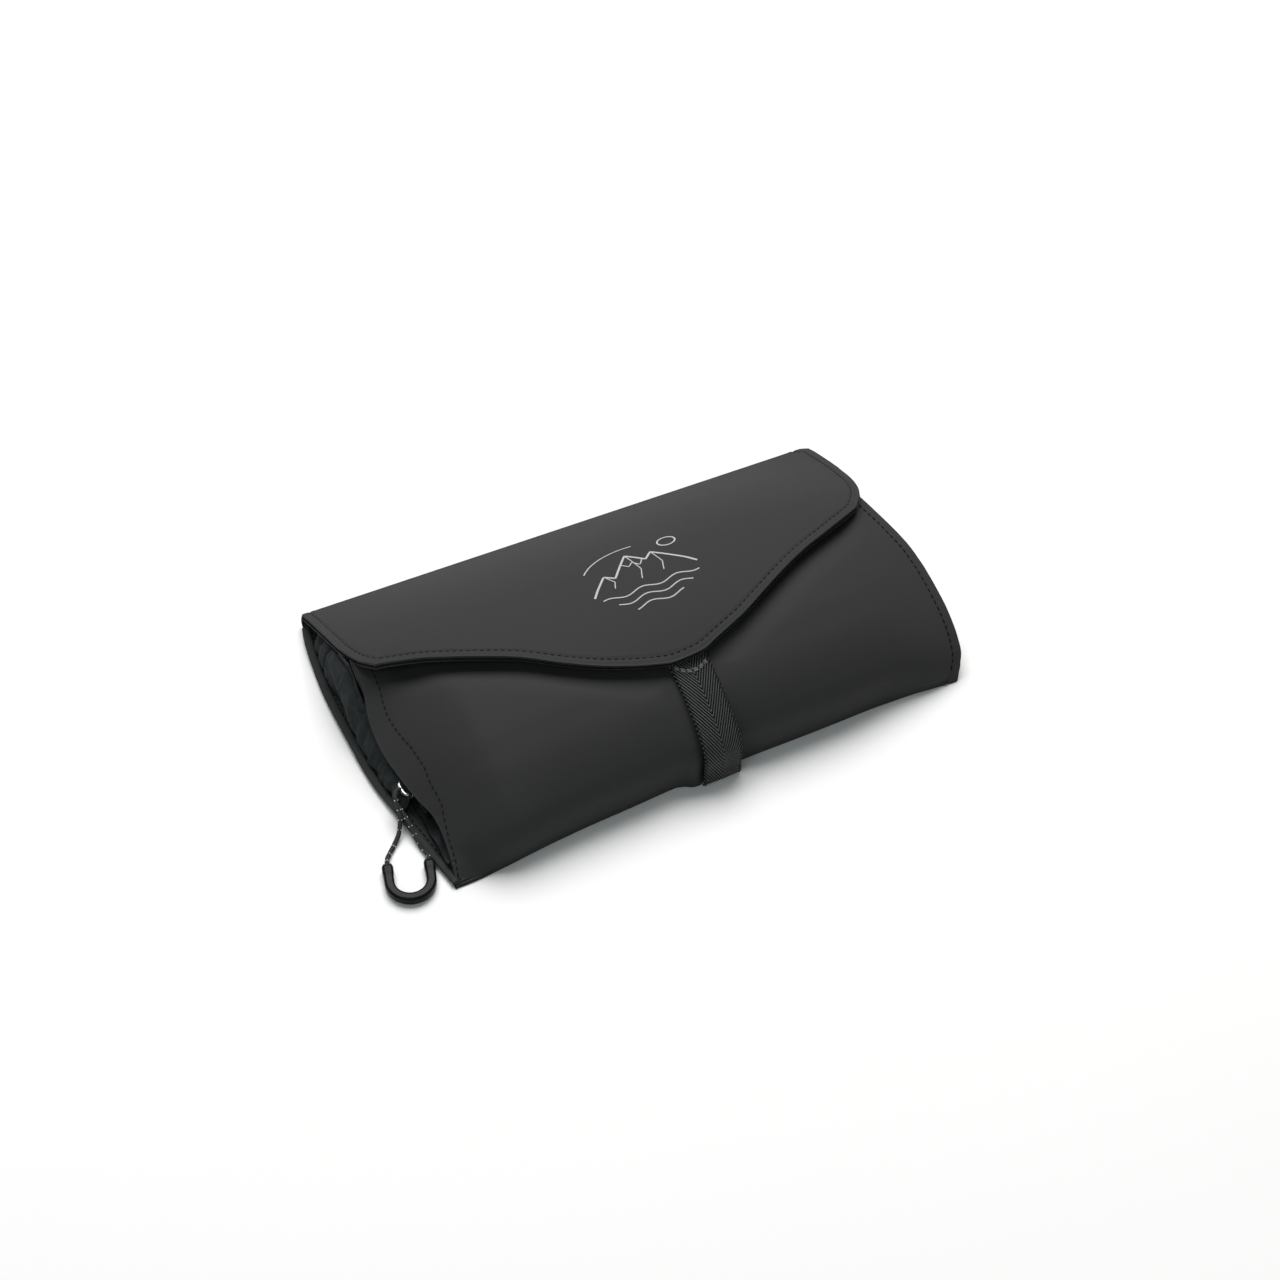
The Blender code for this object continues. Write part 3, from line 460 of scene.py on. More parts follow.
def make_object(name, points, faces, material, uv=None, edge=None, smooth=True):
    """A mesh of points in mm; uv is in mm too, and edge is 1 along the cloth's rim, where a
    highlight is painted lighter.
    """
    mesh = bpy.data.meshes.new(name)
    mesh.from_pydata((np.asarray(points) * MM).tolist(), [], faces)
    mesh.materials.append(M[material])
    if uv is not None:
        layer = mesh.uv_layers.new(name="Cloth")
        corners = np.zeros(len(mesh.loops), int)
        mesh.loops.foreach_get("vertex_index", corners)
        layer.data.foreach_set("uv", np.asarray(uv, float)[corners].ravel())
    if edge is not None:
        attribute = mesh.attributes.new("Edge", "FLOAT", "POINT")
        attribute.data.foreach_set("value", np.asarray(edge, np.float32))
    if smooth:
        mesh.shade_smooth()
    return put(name, mesh)


def grid_normals(grid):
    """The unit normal at each point, along the first direction crossed with the second."""
    along = np.gradient(grid, axis=0)
    across = np.gradient(grid, axis=1)
    normals = np.cross(along, across)
    return normals / np.maximum(np.linalg.norm(normals, axis=-1, keepdims=True), 1e-9)


def grid_uv(grid):
    """UVs in mm, from the distances along the grid's two middle lines."""
    u = reach_along(grid[:, grid.shape[1] // 2])
    v = reach_along(grid[grid.shape[0] // 2])
    return np.stack(np.meshgrid(u, v, indexing="ij"), axis=-1)


def grid_quads(index, flip=False):
    """The quads of a grid whose points have these numbers."""
    quads = np.stack([index[:-1, :-1], index[1:, :-1], index[1:, 1:], index[:-1, 1:]],
                     axis=-1).reshape(-1, 4)
    return quads[:, ::-1] if flip else quads


def skin(name, grid, thickness, material, uv=None, flip=False, seamless=(), normals=None):
    """A closed sheet of cloth with a rounded rim. The grid is its outer face.

    Seamless sides meet another sheet, so they keep a sharp shading edge and no painted rim
    highlight.
    """
    rows, columns = grid.shape[:2]
    if normals is None:
        normals = grid_normals(grid) * (-1 if flip else 1)
    uv = grid_uv(grid) if uv is None else uv
    outer = grid.reshape(-1, 3)
    inner = (grid - normals * thickness).reshape(-1, 3)
    index = np.arange(rows * columns).reshape(rows, columns)
    loop = np.concatenate([index[:, 0], index[-1, 1:], index[-2::-1, -1], index[0, -2:0:-1]])
    tangent = np.roll(outer[loop], -1, axis=0) - np.roll(outer[loop], 1, axis=0)
    away = np.cross(tangent, normals.reshape(-1, 3)[loop]) * (-1 if flip else 1)
    away /= np.maximum(np.linalg.norm(away, axis=1, keepdims=True), 1e-9)
    rim = (outer[loop] + inner[loop]) / 2 + away * thickness * 0.35
    count = rows * columns
    quads = grid_quads(index, flip)
    faces = quads.tolist() + (quads[:, ::-1] + count).tolist()
    here = np.arange(len(loop))
    after = np.roll(here, -1)
    upper = np.stack([loop[after], loop[here], 2 * count + here, 2 * count + after], axis=1)
    lower = np.stack([2 * count + after, 2 * count + here, count + loop[here],
                      count + loop[after]], axis=1)
    sides = np.concatenate([upper, lower])
    if flip:
        sides = sides[:, ::-1]
    faces += sides[:, ::-1].tolist()
    flat_uv = uv.reshape(-1, 2)
    # Painted highlight: the sides whose rim band is painted lighter
    highlight_sides = [side for side in SIDES if side not in seamless]
    closeness = np.clip(1.0 - rim_distance(grid, highlight_sides) / RIM_HIGHLIGHT_WIDTH, 0.0, 1.0).ravel()
    sheet = make_object(name, np.concatenate([outer, inner, rim]), faces, material,
                        uv=np.concatenate([flat_uv, flat_uv, flat_uv[loop]]),
                        edge=np.concatenate([closeness, closeness, np.ones(len(loop))]))
    for side in seamless:
        ends = np.zeros(2 * len(sheet.data.edges), int)
        sheet.data.edges.foreach_get("vertices", ends)
        sharp = np.isin(ends.reshape(-1, 2), rim_line(index, side)).all(axis=1)
        sheet.data.edges.foreach_set("use_edge_sharp", sharp)
    return sheet


def rim_line(grid, side):
    """The row or column of a grid along one of its sides."""
    return {"low_u": grid[0], "high_u": grid[-1], "low_v": grid[:, 0],
            "high_v": grid[:, -1]}[side]


def rim_distance(grid, sides):
    """Distance from each grid point to the nearest of the named sides of the grid."""
    rim = []
    for side in sides:
        line = rim_line(grid, side)
        middles = (line[1:] + line[:-1]) / 2
        rim += [line, middles]
    rim = np.concatenate(rim)
    flat = grid.reshape(-1, 3)
    nearest = np.full(len(flat), 1e9)
    for start in range(0, len(rim), 64):
        part = rim[start:start + 64]
        gaps = np.linalg.norm(flat[:, None] - part[None], axis=2).min(axis=1)
        nearest = np.minimum(nearest, gaps)
    return nearest.reshape(grid.shape[:2])


def hemmed(grid, sides, width=HEM_WIDTH, rise=HEM_RISE, normals=None):
    """The grid with a raised, turned-over hem along the named sides and a dip under its seam."""
    distance = rim_distance(grid, sides)
    raised = rise * smoothstep((width + 1.0 - distance) / 0.9)
    dip = SEAM_DIP * np.exp(-((distance - width + 1.1) / 0.55) ** 2)
    pucker = PUCKER * ripple(grid, 5.0, 3) * smoothstep((width + 6.0 - distance) / 6.0)
    offset = raised - dip + pucker
    normals = grid_normals(grid) if normals is None else normals
    return grid + normals * offset[..., None]


def seam_path(grid, side, inset, others=(), normals=None):
    """Points and normals of the line on a grid at a distance inside one of its sides."""
    distance = rim_distance(grid, (side,))
    others_distance = rim_distance(grid, others) if others else np.full(distance.shape, 1e9)
    normals = grid_normals(grid) if normals is None else normals
    if side in ("low_v", "high_v"):
        lines = [(distance[i], grid[i], normals[i], others_distance[i])
                 for i in range(grid.shape[0])]
    else:
        lines = [(distance[:, j], grid[:, j], normals[:, j], others_distance[:, j])
                 for j in range(grid.shape[1])]
    if side.startswith("high"):
        lines = [tuple(part[::-1] for part in line) for line in lines]
    points, outs = [], []
    for (away, place, normal, other), inset in zip(lines, np.broadcast_to(inset, len(lines))):
        crossing = np.argmax(away >= inset)
        if crossing == 0:
            continue
        share = (inset - away[crossing - 1]) / (away[crossing] - away[crossing - 1])
        if other[crossing] < inset - 0.2:
            continue
        points.append(place[crossing - 1] * (1 - share) + place[crossing] * share)
        outs.append(normal[crossing])
    return np.array(points), np.array(outs)


def ring_faces(rings, sides, first=0):
    """The quads between one ring of points and the next."""
    faces = []
    for corner in range(first, first + (rings - 1) * sides, sides):
        for side in range(sides):
            after = (side + 1) % sides
            faces.append((corner + side, corner + after, corner + sides + after,
                          corner + sides + side))
    return faces


def capped_faces(rings, sides, first=0):
    """The quads of a closed tube and its two flat ends."""
    last = first + (rings - 1) * sides
    return ring_faces(rings, sides, first) + [tuple(reversed(range(first, first + sides))),
                                              tuple(range(last, last + sides))]


def squircle(turn, squareness):
    """Radius of a rounded square of half width 1; 2 is a circle, and more is squarer."""
    return ((abs(math.cos(turn)) ** squareness + abs(math.sin(turn)) ** squareness)
            ** (-1 / squareness))


def stitches(name, paths, material="thread", pitch=STITCH_PITCH, length=STITCH_LENGTH,
             radius=STITCH_RADIUS, lift=0.05, rings=5, sides=6):
    """Rows of separate stitches. Each path is (points, normals); each end dips into the cloth."""
    points, faces, uvs = [], [], []
    for path, normals in paths:
        reach = reach_along(path)
        for middle in np.arange(pitch / 2, reach[-1], pitch):
            shares = np.linspace(-0.5, 0.5, rings)
            places = np.clip(middle + shares * length, 0.0, reach[-1])
            line = read_along(path, reach, places)
            out = read_along(normals, reach, places)
            run = line[-1] - line[0]
            size = np.linalg.norm(run)
            if size < 0.3 * length:
                continue
            run /= size
            first = len(points)
            for ring, share in enumerate(shares):
                up = out[ring] / np.linalg.norm(out[ring])
                beside = np.cross(run, up)
                bow = 1.0 - (2 * abs(share)) ** 3
                centre = line[ring] + up * (lift + radius * 0.9 * bow - radius * 0.5)
                width = radius * (0.45 + 0.55 * bow)
                for side in range(sides):
                    turn = 2 * math.pi * side / sides
                    points.append(centre + width * (beside * math.cos(turn)
                                                    + up * math.sin(turn)))
                    uvs.append((share * length, side))
            faces += capped_faces(rings, sides, first)
    return make_object(name, points, faces, material, uv=uvs)


def tube(name, path, radius, material, sides=12, squareness=2.0, radii=None, up=(0, 0, 1),
         flat=1.0):
    """A closed tube along a path; squareness above 2 turns its round section squarer.

    Flat scales the section's height along the up direction.
    """
    path = np.asarray(path, float)
    runs = np.gradient(path, axis=0)
    runs /= np.linalg.norm(runs, axis=1, keepdims=True)
    beside = np.cross(runs[0], up)
    if np.linalg.norm(beside) < 0.1:
        beside = np.cross(runs[0], (1, 0, 0))
    points, uvs = [], []
    travelled = 0.0
    for index, (centre, run) in enumerate(zip(path, runs)):
        beside = beside - run * np.dot(beside, run)
        beside /= np.linalg.norm(beside)
        over = np.cross(beside, run)
        size = radii[index] if radii is not None else radius
        if index:
            travelled += np.linalg.norm(centre - path[index - 1])
        for side in range(sides):
            turn = 2 * math.pi * side / sides
            points.append(centre + size * squircle(turn, squareness)
                          * (beside * math.cos(turn) + over * math.sin(turn) * flat))
            uvs.append((side / sides, travelled))
    thing = make_object(name, points, capped_faces(len(path), sides), material, uv=uvs)
    fix_normals(thing)
    return thing


def fix_normals(thing):
    shape = bmesh.new()
    shape.from_mesh(thing.data)
    bmesh.ops.recalc_face_normals(shape, faces=shape.faces)
    shape.to_mesh(thing.data)
    shape.free()


def join(name, things):
    """Several new meshes as one object; all their materials are kept."""
    bpy.ops.object.select_all(action="DESELECT")
    for thing in things:
        thing.select_set(True)
    bpy.context.view_layer.objects.active = things[0]
    bpy.ops.object.join()
    things[0].name = name
    things[0].data.name = name
    return things[0]


# ---------------------------------------------------------------- camera, floor and light

# Fitted to the bag's straight edges in the photo; places are in metres
CAMERA_AZIMUTH = math.radians(-26.81)
CAMERA_HEIGHT = math.radians(50.70)
CAMERA_DISTANCE = 1.6
CAMERA_TARGET = Vector((0.001, -0.010, 0.020))
CAMERA_LENS = 103.98
FLOOR_HALF = 6.0
AMBIENT = (1.0, 0.975, 0.97, 1.0)
AMBIENT_STRENGTH = 0.10

# Each light's name, place and size in metres, power in watts, and colour
LIGHTS = (("overhead", (0.50, 1.22, 2.22), (2.2, 1.9), 87.0, (1.0, 0.99, 0.98)),
          ("front_fill", (-1.1, -1.3, 1.9), (2.2, 1.5), 10.5, (0.86, 1.0, 0.99)))


def make_camera():
    data = bpy.data.cameras.new("camera")
    data.lens = CAMERA_LENS
    data.sensor_width = 36.0
    data.clip_end = 20.0
    camera = put("camera", data)
    back = Vector((math.sin(CAMERA_AZIMUTH) * math.cos(CAMERA_HEIGHT),
                   -math.cos(CAMERA_AZIMUTH) * math.cos(CAMERA_HEIGHT),
                   math.sin(CAMERA_HEIGHT)))
    camera.location = CAMERA_TARGET + back * CAMERA_DISTANCE
    camera.rotation_euler = (-back).to_track_quat("-Z", "Y").to_euler()
    bpy.context.scene.camera = camera


def add_light(name, place, size, power, colour):
    """A rectangular lamp that points at the middle of the bag's footprint."""
    data = bpy.data.lights.new(name, "AREA")
    data.shape = "RECTANGLE"
    data.size, data.size_y = size
    data.energy = power
    data.color = colour
    light = put(name, data)
    light.location = place
    light.rotation_euler = (-Vector(place)).to_track_quat("-Z", "Y").to_euler()


def make_studio():
    size = FLOOR_HALF
    mesh = bpy.data.meshes.new("floor")
    mesh.from_pydata([(-size, -size, 0), (size, -size, 0), (size, size, 0), (-size, size, 0)],
                     [], [(0, 1, 2, 3)])
    n = Nodes("floor_paper")
    place = n.add("ShaderNodeTexCoord").outputs["Object"]
    n.set(Base_Color=n.tone((0.97, 0.97, 0.97), n.spread(n.noise(place, 3.0), 0.99, 1.0)),
          Roughness=0.9, Specular_IOR_Level=0.0)
    mesh.materials.append(n.material)
    put("floor", mesh)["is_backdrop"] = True

    world = bpy.data.worlds.new("studio")
    world.use_nodes = True
    sky = world.node_tree.nodes["Background"]
    sky.inputs["Color"].default_value = AMBIENT
    sky.inputs["Strength"].default_value = AMBIENT_STRENGTH
    bpy.context.scene.world = world
    for light in LIGHTS:
        add_light(*light)
    bpy.context.scene.view_settings.view_transform = "Standard"


# ---------------------------------------------------------------- cord and its moulded end

# The route is in metres, as in the CAD: from one arm, through the slider's bridge, to the other
CORD_DIAMETER = 2.0
CORD_ROUTE = [(-0.14190, -0.05844, 0.00203), (-0.14037, -0.05504, 0.00180),
              (-0.13900, -0.05320, 0.00130), (-0.13480, -0.04940, 0.00140),
              (-0.13040, -0.04530, 0.00300), (-0.12760, -0.04020, 0.00720),
              (-0.12645, -0.03360, 0.01125), (-0.12448, -0.03100, 0.01174),
              (-0.12292, -0.03100, 0.01160), (-0.12200, -0.03100, 0.01000),
              (-0.12292, -0.03100, 0.00840), (-0.12448, -0.03100, 0.00826),
              (-0.12625, -0.03400, 0.00815), (-0.12540, -0.04260, 0.00560),
              (-0.12520, -0.04900, 0.00320), (-0.12490, -0.05500, 0.00180),
              (-0.12420, -0.06029, 0.00190), (-0.12516, -0.06387, 0.00203)]
PULL_ROD = 4.4
PULL_SPREAD = 17.6
PULL_ARM = 9.0
PULL_SWELL = 1.10
PULL_SLIM = 0.98
DIMPLE_RADIUS = 0.48
DIMPLE_STEPS = (2.0, 4.0)
PULL_CENTRE = (-136.4, -70.0)
PULL_TURN = math.radians(-18.0)


def pull_point(along, across, height):
    """A place on the moulded pull: along its arms from the bend, and across them."""
    cosine, sine = math.cos(PULL_TURN), math.sin(PULL_TURN)
    x, y = PULL_CENTRE
    return np.array((x + across * cosine + along * sine,
                     y + across * sine - along * cosine, height))


def make_pull_end():
    """A moulded U with a flattened face, thicker arm tops and two dimples near each top."""
    radius = PULL_SPREAD / 2
    height = PULL_ROD / 2 * PULL_SWELL
    bend = [(radius * math.sin(angle), -radius * math.cos(angle))
            for angle in np.linspace(0, math.pi, 25)]
    arms = np.linspace(-PULL_ARM, -0.8, 9)
    plan = [(along, -radius) for along in arms] + bend
    plan += [(along, radius) for along in reversed(arms)]
    path = np.array([pull_point(along, across, height) for along, across in plan])
    reach = reach_along(path)
    from_top = np.minimum(reach, reach[-1] - reach)
    radii = PULL_ROD / 2 * (PULL_SLIM + (PULL_SWELL - PULL_SLIM)
                            * smoothstep((5.5 - from_top) / 1.5))
    radii *= np.where(from_top < 0.5, 0.84, 1.0)
    things = [tube("pull_end_moulding", path, height, "pull", sides=24, squareness=4.2,
                   radii=radii)]
    for across in (-radius, radius):
        for step in DIMPLE_STEPS:
            centre = pull_point(-PULL_ARM + step, across, PULL_ROD * PULL_SWELL - 0.02)
            things.append(dimple(centre, DIMPLE_RADIUS))
    return join("pull_end_moulding", things)


def dimple(centre, radius):
    """A recess painted dark as shade, in a shallow raised lip."""
    points = []
    profile = [(1.35, -0.35), (1.15, 0.03), (1.0, 0.05), (0.9, -0.05), (0.0, -0.06)]
    sides = 14
    for share, height in profile:
        for side in range(sides):
            turn = 2 * math.pi * side / sides
            points.append(centre + np.array((radius * share * math.cos(turn),
                                             radius * share * math.sin(turn), height)))
    return make_object("dimple", points, ring_faces(len(profile), sides), "hollow")


def make_cord(moulding):
    route = smooth_through(CORD_ROUTE, steps=3)
    path = Line(np.array(CORD_ROUTE) / MM, steps=6)
    places = np.arange(0, path.length, 0.4)
    cord = tube("pull_cord_braid", path.at(np.append(places, path.length)),
                CORD_DIAMETER / 2, "cord", sides=14)
    flecks = make_flecks(path)
    for piece in (cord, flecks, moulding):
        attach(piece, "pull")
    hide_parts("pull_cord")
    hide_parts("pull_end")
    list(CORD_ROUTE[0])


def make_flecks(path):
    """Pale threads in the braid: dashed rings at its start, and groups of dots further on."""
    points, faces, uvs = [], [], []
    half = path.length / 2
    for place in np.concatenate([np.arange(2.6, 15.0, 4.3), np.arange(19.0, half - 7.0, 4.2),
                                 np.arange(half + 8.0, path.length - 1.0, 4.1)]):
        ringed = place < 16.0
        centre, ahead = path.at(place), path.at(place + 0.5)
        run = (ahead - centre) / np.linalg.norm(ahead - centre)
        beside = np.cross(run, (0, 0, 1))
        beside /= np.linalg.norm(beside)
        over = np.cross(beside, run)
        if ringed:
            spans = [(turn, turn + 0.75, 0.17) for turn in np.arange(0.0, 2 * math.pi, 1.05)]
        else:
            spans = [(turn, turn + 0.55, 0.26) for turn in (0.35, 2.0, 3.8, 5.2)]
        for start, end, width in spans:
            first = len(points)
            for turn in np.linspace(start, end, 5):
                out = beside * math.cos(turn) + over * math.sin(turn)
                fade = 1.0 - abs(2 * (turn - start) / (end - start) - 1) ** 3
                middle = centre + out * CORD_DIAMETER / 2 + run * 0.25 * (turn - start)
                for side in (-1, 1):
                    points.append(middle + run * side * width * (0.5 + 0.5 * fade)
                                  + out * 0.10 * fade)
                    uvs.append((turn, side * width))
                points.append(middle - out * 0.25)
                uvs.append((turn, 0))
            faces += ring_faces(5, 3, first)
            faces.append((first, first + 1, first + 2))
            faces.append((first + 14, first + 13, first + 12))
    flecks = make_object("pull_cord_flecks", points, faces, "fleck", uv=uvs)
    fix_normals(flecks)
    return flecks


# ---------------------------------------------------------------- flap

FLAP = Line(FLAP_SIDE)
EDGE = Line(FLAP_EDGE)
FLAP_LEFT_LINE = smooth_through(FLAP_LEFT)
FLAP_RIGHT_LINE = smooth_through(FLAP_RIGHT)
FRONT = Line(FRONT_SIDE)
LEFT = Line(FRONT_LEFT)
RIGHT = Line(FRONT_RIGHT)
BASE_LEFT_LINE = Line(BASE_LEFT)
BASE_RIGHT_LINE = Line(BASE_RIGHT)


def rear_skew(x, y):
    """How far forward, and up, the rear fold sits towards the right end."""
    share = (x + HALF) / (2 * HALF)
    reach = np.clip(y / BASE_HIGH[1], 0.0, 1.0)
    return FLAP_REAR_SKEW * share * reach, FLAP_REAR_LIFT * share * reach ** 2


def flap_place(x, distance):
    """The point of the flap's outer face at an x and at a distance over the cloth."""
    y, z = np.moveaxis(FLAP.at(distance), -1, 0)
    sag = FLAP_SAG * (np.maximum(0.0, np.abs(x) - SAG_START) / FLAP_SAG_RUN) ** 2
    z = FLAP_SIDE[0][1] + (z - FLAP_SIDE[0][1]) * (1 - sag)
    back, up = rear_skew(x, y)
    beyond = np.maximum(0.0, distance - FLAP.length)
    return np.stack([x, y - back - beyond, z + up - beyond * FLAP_TIP_DROOP], axis=-1)


def flap_width(side, share):
    """X of the flap's side edge at a share of the way to its front corner."""
    line = FLAP_LEFT_LINE if side < 0 else FLAP_RIGHT_LINE
    return np.interp(share * line[-1, 0], line[:, 0], line[:, 1])


def flap_grid(trim=0.0, start=0.0, depth=0.0):
    """The flap's outer face and its normals; trim takes it in all round, depth lowers it."""
    across = uneven(-1.0, 1.0, 0.006, 0.016, 0.07, 0.07)
    along = 1.0 - uneven(0.0, 1.0, 0.007, 0.022, 0.09, 0.02)[::-1]
    along = np.sort(np.unique(np.round(along, 5)))
    grid = np.zeros((len(across), len(along), 3))
    normals = np.zeros_like(grid)
    left_end, right_end = EDGE.curve[0, 0] + trim, EDGE.curve[-1, 0] - trim
    for i, u in enumerate(across):
        front_x = (left_end + right_end) / 2 + u * (right_end - left_end) / 2
        reach = np.interp(front_x, EDGE.curve[:, 0], EDGE.curve[:, 1]) - trim * 1.05
        for gap in (front_x - left_end, right_end - front_x):
            if gap < FLAP_CORNER:
                reach -= FLAP_CORNER - math.sqrt(max(0.0, FLAP_CORNER ** 2
                                                     - (FLAP_CORNER - gap) ** 2))
        distance = start + (reach - start) * along
        left = flap_width(-1, along) + trim
        right = flap_width(1, along) - trim
        x = (left + right) / 2 + u * (right - left) / 2
        grid[i], normals[i] = on_flap(x, distance)
    grid[..., 2] += 0.35 * ripple(grid, 60.0, 1) * smoothstep((grid[..., 2] - 12) / 20)
    return grid - normals * depth, normals


def on_flap(x, distance, lift=0.0):
    """Points and normals on the flap for marks sewn or printed on it."""
    x, distance = np.asarray(x, float), np.asarray(distance, float)
    here = flap_place(x, distance)
    along = flap_place(x + 0.5, distance) - here
    across = flap_place(x, distance + 0.5) - here
    normals = np.cross(across, along)
    normals /= np.linalg.norm(normals, axis=-1, keepdims=True)
    return here + normals * lift, normals


def bend_flap(piece):
    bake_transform(piece)


def make_flap():
    grid, normals = flap_grid()
    grid = hemmed(grid, ("high_v", "low_u", "high_u"), normals=normals)
    cloth = skin("flap_cloth", grid, SHELL, "shell", flip=True, normals=normals)
    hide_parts("flap_rear_panel", "flap_tip_panel")
    paths = [seam_path(grid, side, SEAM_INSET, others, normals=normals)
             for side, others in (("high_v", ("low_u", "high_u")), ("low_u", ("high_v",)),
                                  ("high_u", ("high_v",)))]
    seam = stitches("flap_seam", paths, "hem_thread")
    facing_grid, normals = flap_grid(trim=-0.5, start=1.5, depth=SHELL + 0.75)
    facing = skin("flap_facing", facing_grid, LINING, "shell", flip=True, normals=normals)
    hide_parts("flap_rear_lining", "flap_tip_lining")
    for piece in (cloth, seam, facing):
        bend_flap(piece)
    return grid


# ---------------------------------------------------------------- front panel

def fold_foot(x):
    """Y of the line where the front fold touches the table."""
    line = smooth_through(FOLD_FOOT)
    return np.interp(x, line[:, 0], line[:, 1])


def front_middle(x, share, held):
    """The front's shape away from its borders; it sags more the larger held is, in mm."""
    y, z = np.moveaxis(FRONT.share(share), -1, 0)
    sag = FRONT_SAG * (np.maximum(0.0, held - SAG_START) / FRONT_SAG_RUN) ** 2
    return np.stack([x, y, FRONT_START + (z - FRONT_START) * (1 - sag)], axis=-1)


def front_border(x, share, line, side):
    """A border's own shape, moved along X as if the whole panel had it."""
    border = line.share(share)
    return np.stack([x + border[..., 0] - side * HALF - side, border[..., 1],
                     border[..., 2]], axis=-1)


def front_place(x, share):
    """The point of the front panel's outer face at an x and a share of the way up."""
    x, share = np.broadcast_arrays(np.asarray(x, float), np.asarray(share, float))
    margin = np.clip((LEFT_MARGIN - x) / (FRONT_HALF + LEFT_MARGIN), 0, 1)[..., None] ** 1.7
    point = (front_middle(x, share, np.abs(x)) * (1 - margin)
             + front_border(x, share, LEFT, -1) * margin)
    margin = (np.clip((x - RIGHT_MARGIN) / (FRONT_HALF - RIGHT_MARGIN), 0, 1) ** 2)[..., None]
    held = np.minimum(np.abs(x), RIGHT_MARGIN)
    right = (front_middle(x, share, held) * (1 - margin)
             + front_border(x, share, RIGHT, 1) * margin)
    point = np.where((x > RIGHT_MARGIN)[..., None], right, point)
    push = (fold_foot(x) - FOLD_FOOT[0][1]) * (1 - smoothstep((x - 85.0) / 30.0))
    point[..., 1] += push * smoothstep(1 - share * FRONT.length / 45.0)
    return point


def front_grid():
    """Outer face from under the front fold, round it and up to the hidden rear edge."""
    xs = np.concatenate([np.arange(*columns) for columns in FRONT_COLUMNS])
    shares = np.linspace(0.0, 1.0, FRONT_ROWS)
    grid = front_place(xs[:, None], shares[None, :])
    top = grid[:, 0]
    foot_x = np.interp(xs, FRONT_ENDS, FOLD_ENDS)
    foot_y = fold_foot(xs)
    fold = np.zeros((len(xs), FOLD_ROWS, 3))
    for j, share in enumerate(np.linspace(0.0, 1.0, FOLD_ROWS, endpoint=False)):
        fold[:, j, 0] = foot_x * (1 - share) + top[:, 0] * share
        fold[:, j, 1] = foot_y * (1 - share) + top[:, 1] * share
        fold[:, j, 2] = TABLE_GAP + (top[:, 2] - TABLE_GAP) * share ** 1.2
    under = np.zeros((len(xs), len(UNDER_ROWS), 3))
    for j, inward in enumerate(UNDER_ROWS):
        under[:, j, 0] = foot_x
        under[:, j, 1] = foot_y + inward
        under[:, j, 2] = UNDERSIDE
    grid = np.concatenate([under, fold, grid], axis=1)
    normals = grid_normals(grid)
    beside = np.abs(grid[..., 0] - TIP_X) - STRAP_WIDTH / 2
    dent = STRAP_DENT * np.exp(-(np.maximum(0.0, beside) / STRAP_DENT_FADE) ** 2)
    dent *= smoothstep((-30.0 - grid[..., 1]) / 20.0)
    edge = flap_place(EDGE.curve[:, 0], EDGE.curve[:, 1])
    beyond_edge = np.interp(grid[..., 0], edge[:, 0], edge[:, 1]) - grid[..., 1]
    tucked = smoothstep(1 - beyond_edge / TUCK_WIDTH)
    tucked *= 1 - smoothstep((np.abs(grid[..., 0]) - 98.0) / 16.0)
    dent = np.maximum(dent, TUCK_DEPTH * tucked)
    wrinkle = 0.30 * ripple(grid, 34.0, 2) + 0.12 * ripple(grid, 13.0, 5)
    near_left = smoothstep((-70.0 - grid[..., 0]) / 40.0)
    wrinkle = wrinkle * (0.5 + 1.3 * near_left)
    rooted = smoothstep((np.arange(grid.shape[1]) - 4.0) / 12.0)[None, :]
    grid = grid - normals * (dent * rooted - wrinkle * rooted)[..., None]
    grid[..., 2] = np.maximum(grid[..., 2], UNDERSIDE)
    return grid


def bend_front(piece):
    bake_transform(piece)


def make_front():
    """The front panel and, as a piece of its own, the fold that joins it to the base."""
    whole = hemmed(front_grid(), ("high_u",), width=6.0, rise=0.06)
    split = FOLD_ROWS + len(UNDER_ROWS)
    grid = whole[:, split:]
    cloth = skin("front_cloth", grid, SHELL, "shell", seamless=("low_v",))
    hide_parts("front_wall_shell", "front_top_shell")
    insets = np.interp(grid[0, :, 1], *zip(*FRONT_SEAM_LEFT))
    seam = stitches("front_seam", [seam_path(grid, "low_u", insets),
                                   seam_path(grid, "high_u", FRONT_SEAM_RIGHT)])
    lining_grid = (grid - grid_normals(grid) * (SHELL + 0.3))[5:-5, 4:-2]
    lining = skin("front_lining", lining_grid, LINING, "lining")
    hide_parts("front_wall_lining", "front_top_lining")
    for piece in (cloth, seam, lining):
        bend_front(piece)

    fold_grid = whole[:, :split + 1]
    fold = skin("front_fold_cloth", fold_grid, SHELL * 0.8, "shell", seamless=("high_v",))
    inset = FRONT_SEAM_LEFT[0][1]
    fold_seam = stitches("front_fold_seam", [seam_path(whole[:, 4:split], "low_u", inset)])
    for vertex in fold.data.vertices:
        vertex.co.z = max(vertex.co.z, 0.02 * MM)
    for piece in (fold, fold_seam):
        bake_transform(piece)


# ---------------------------------------------------------------- folds and base

REAR_FOLD_RADIUS = 4.0
REAR_FOLD_BULGE = 1.2


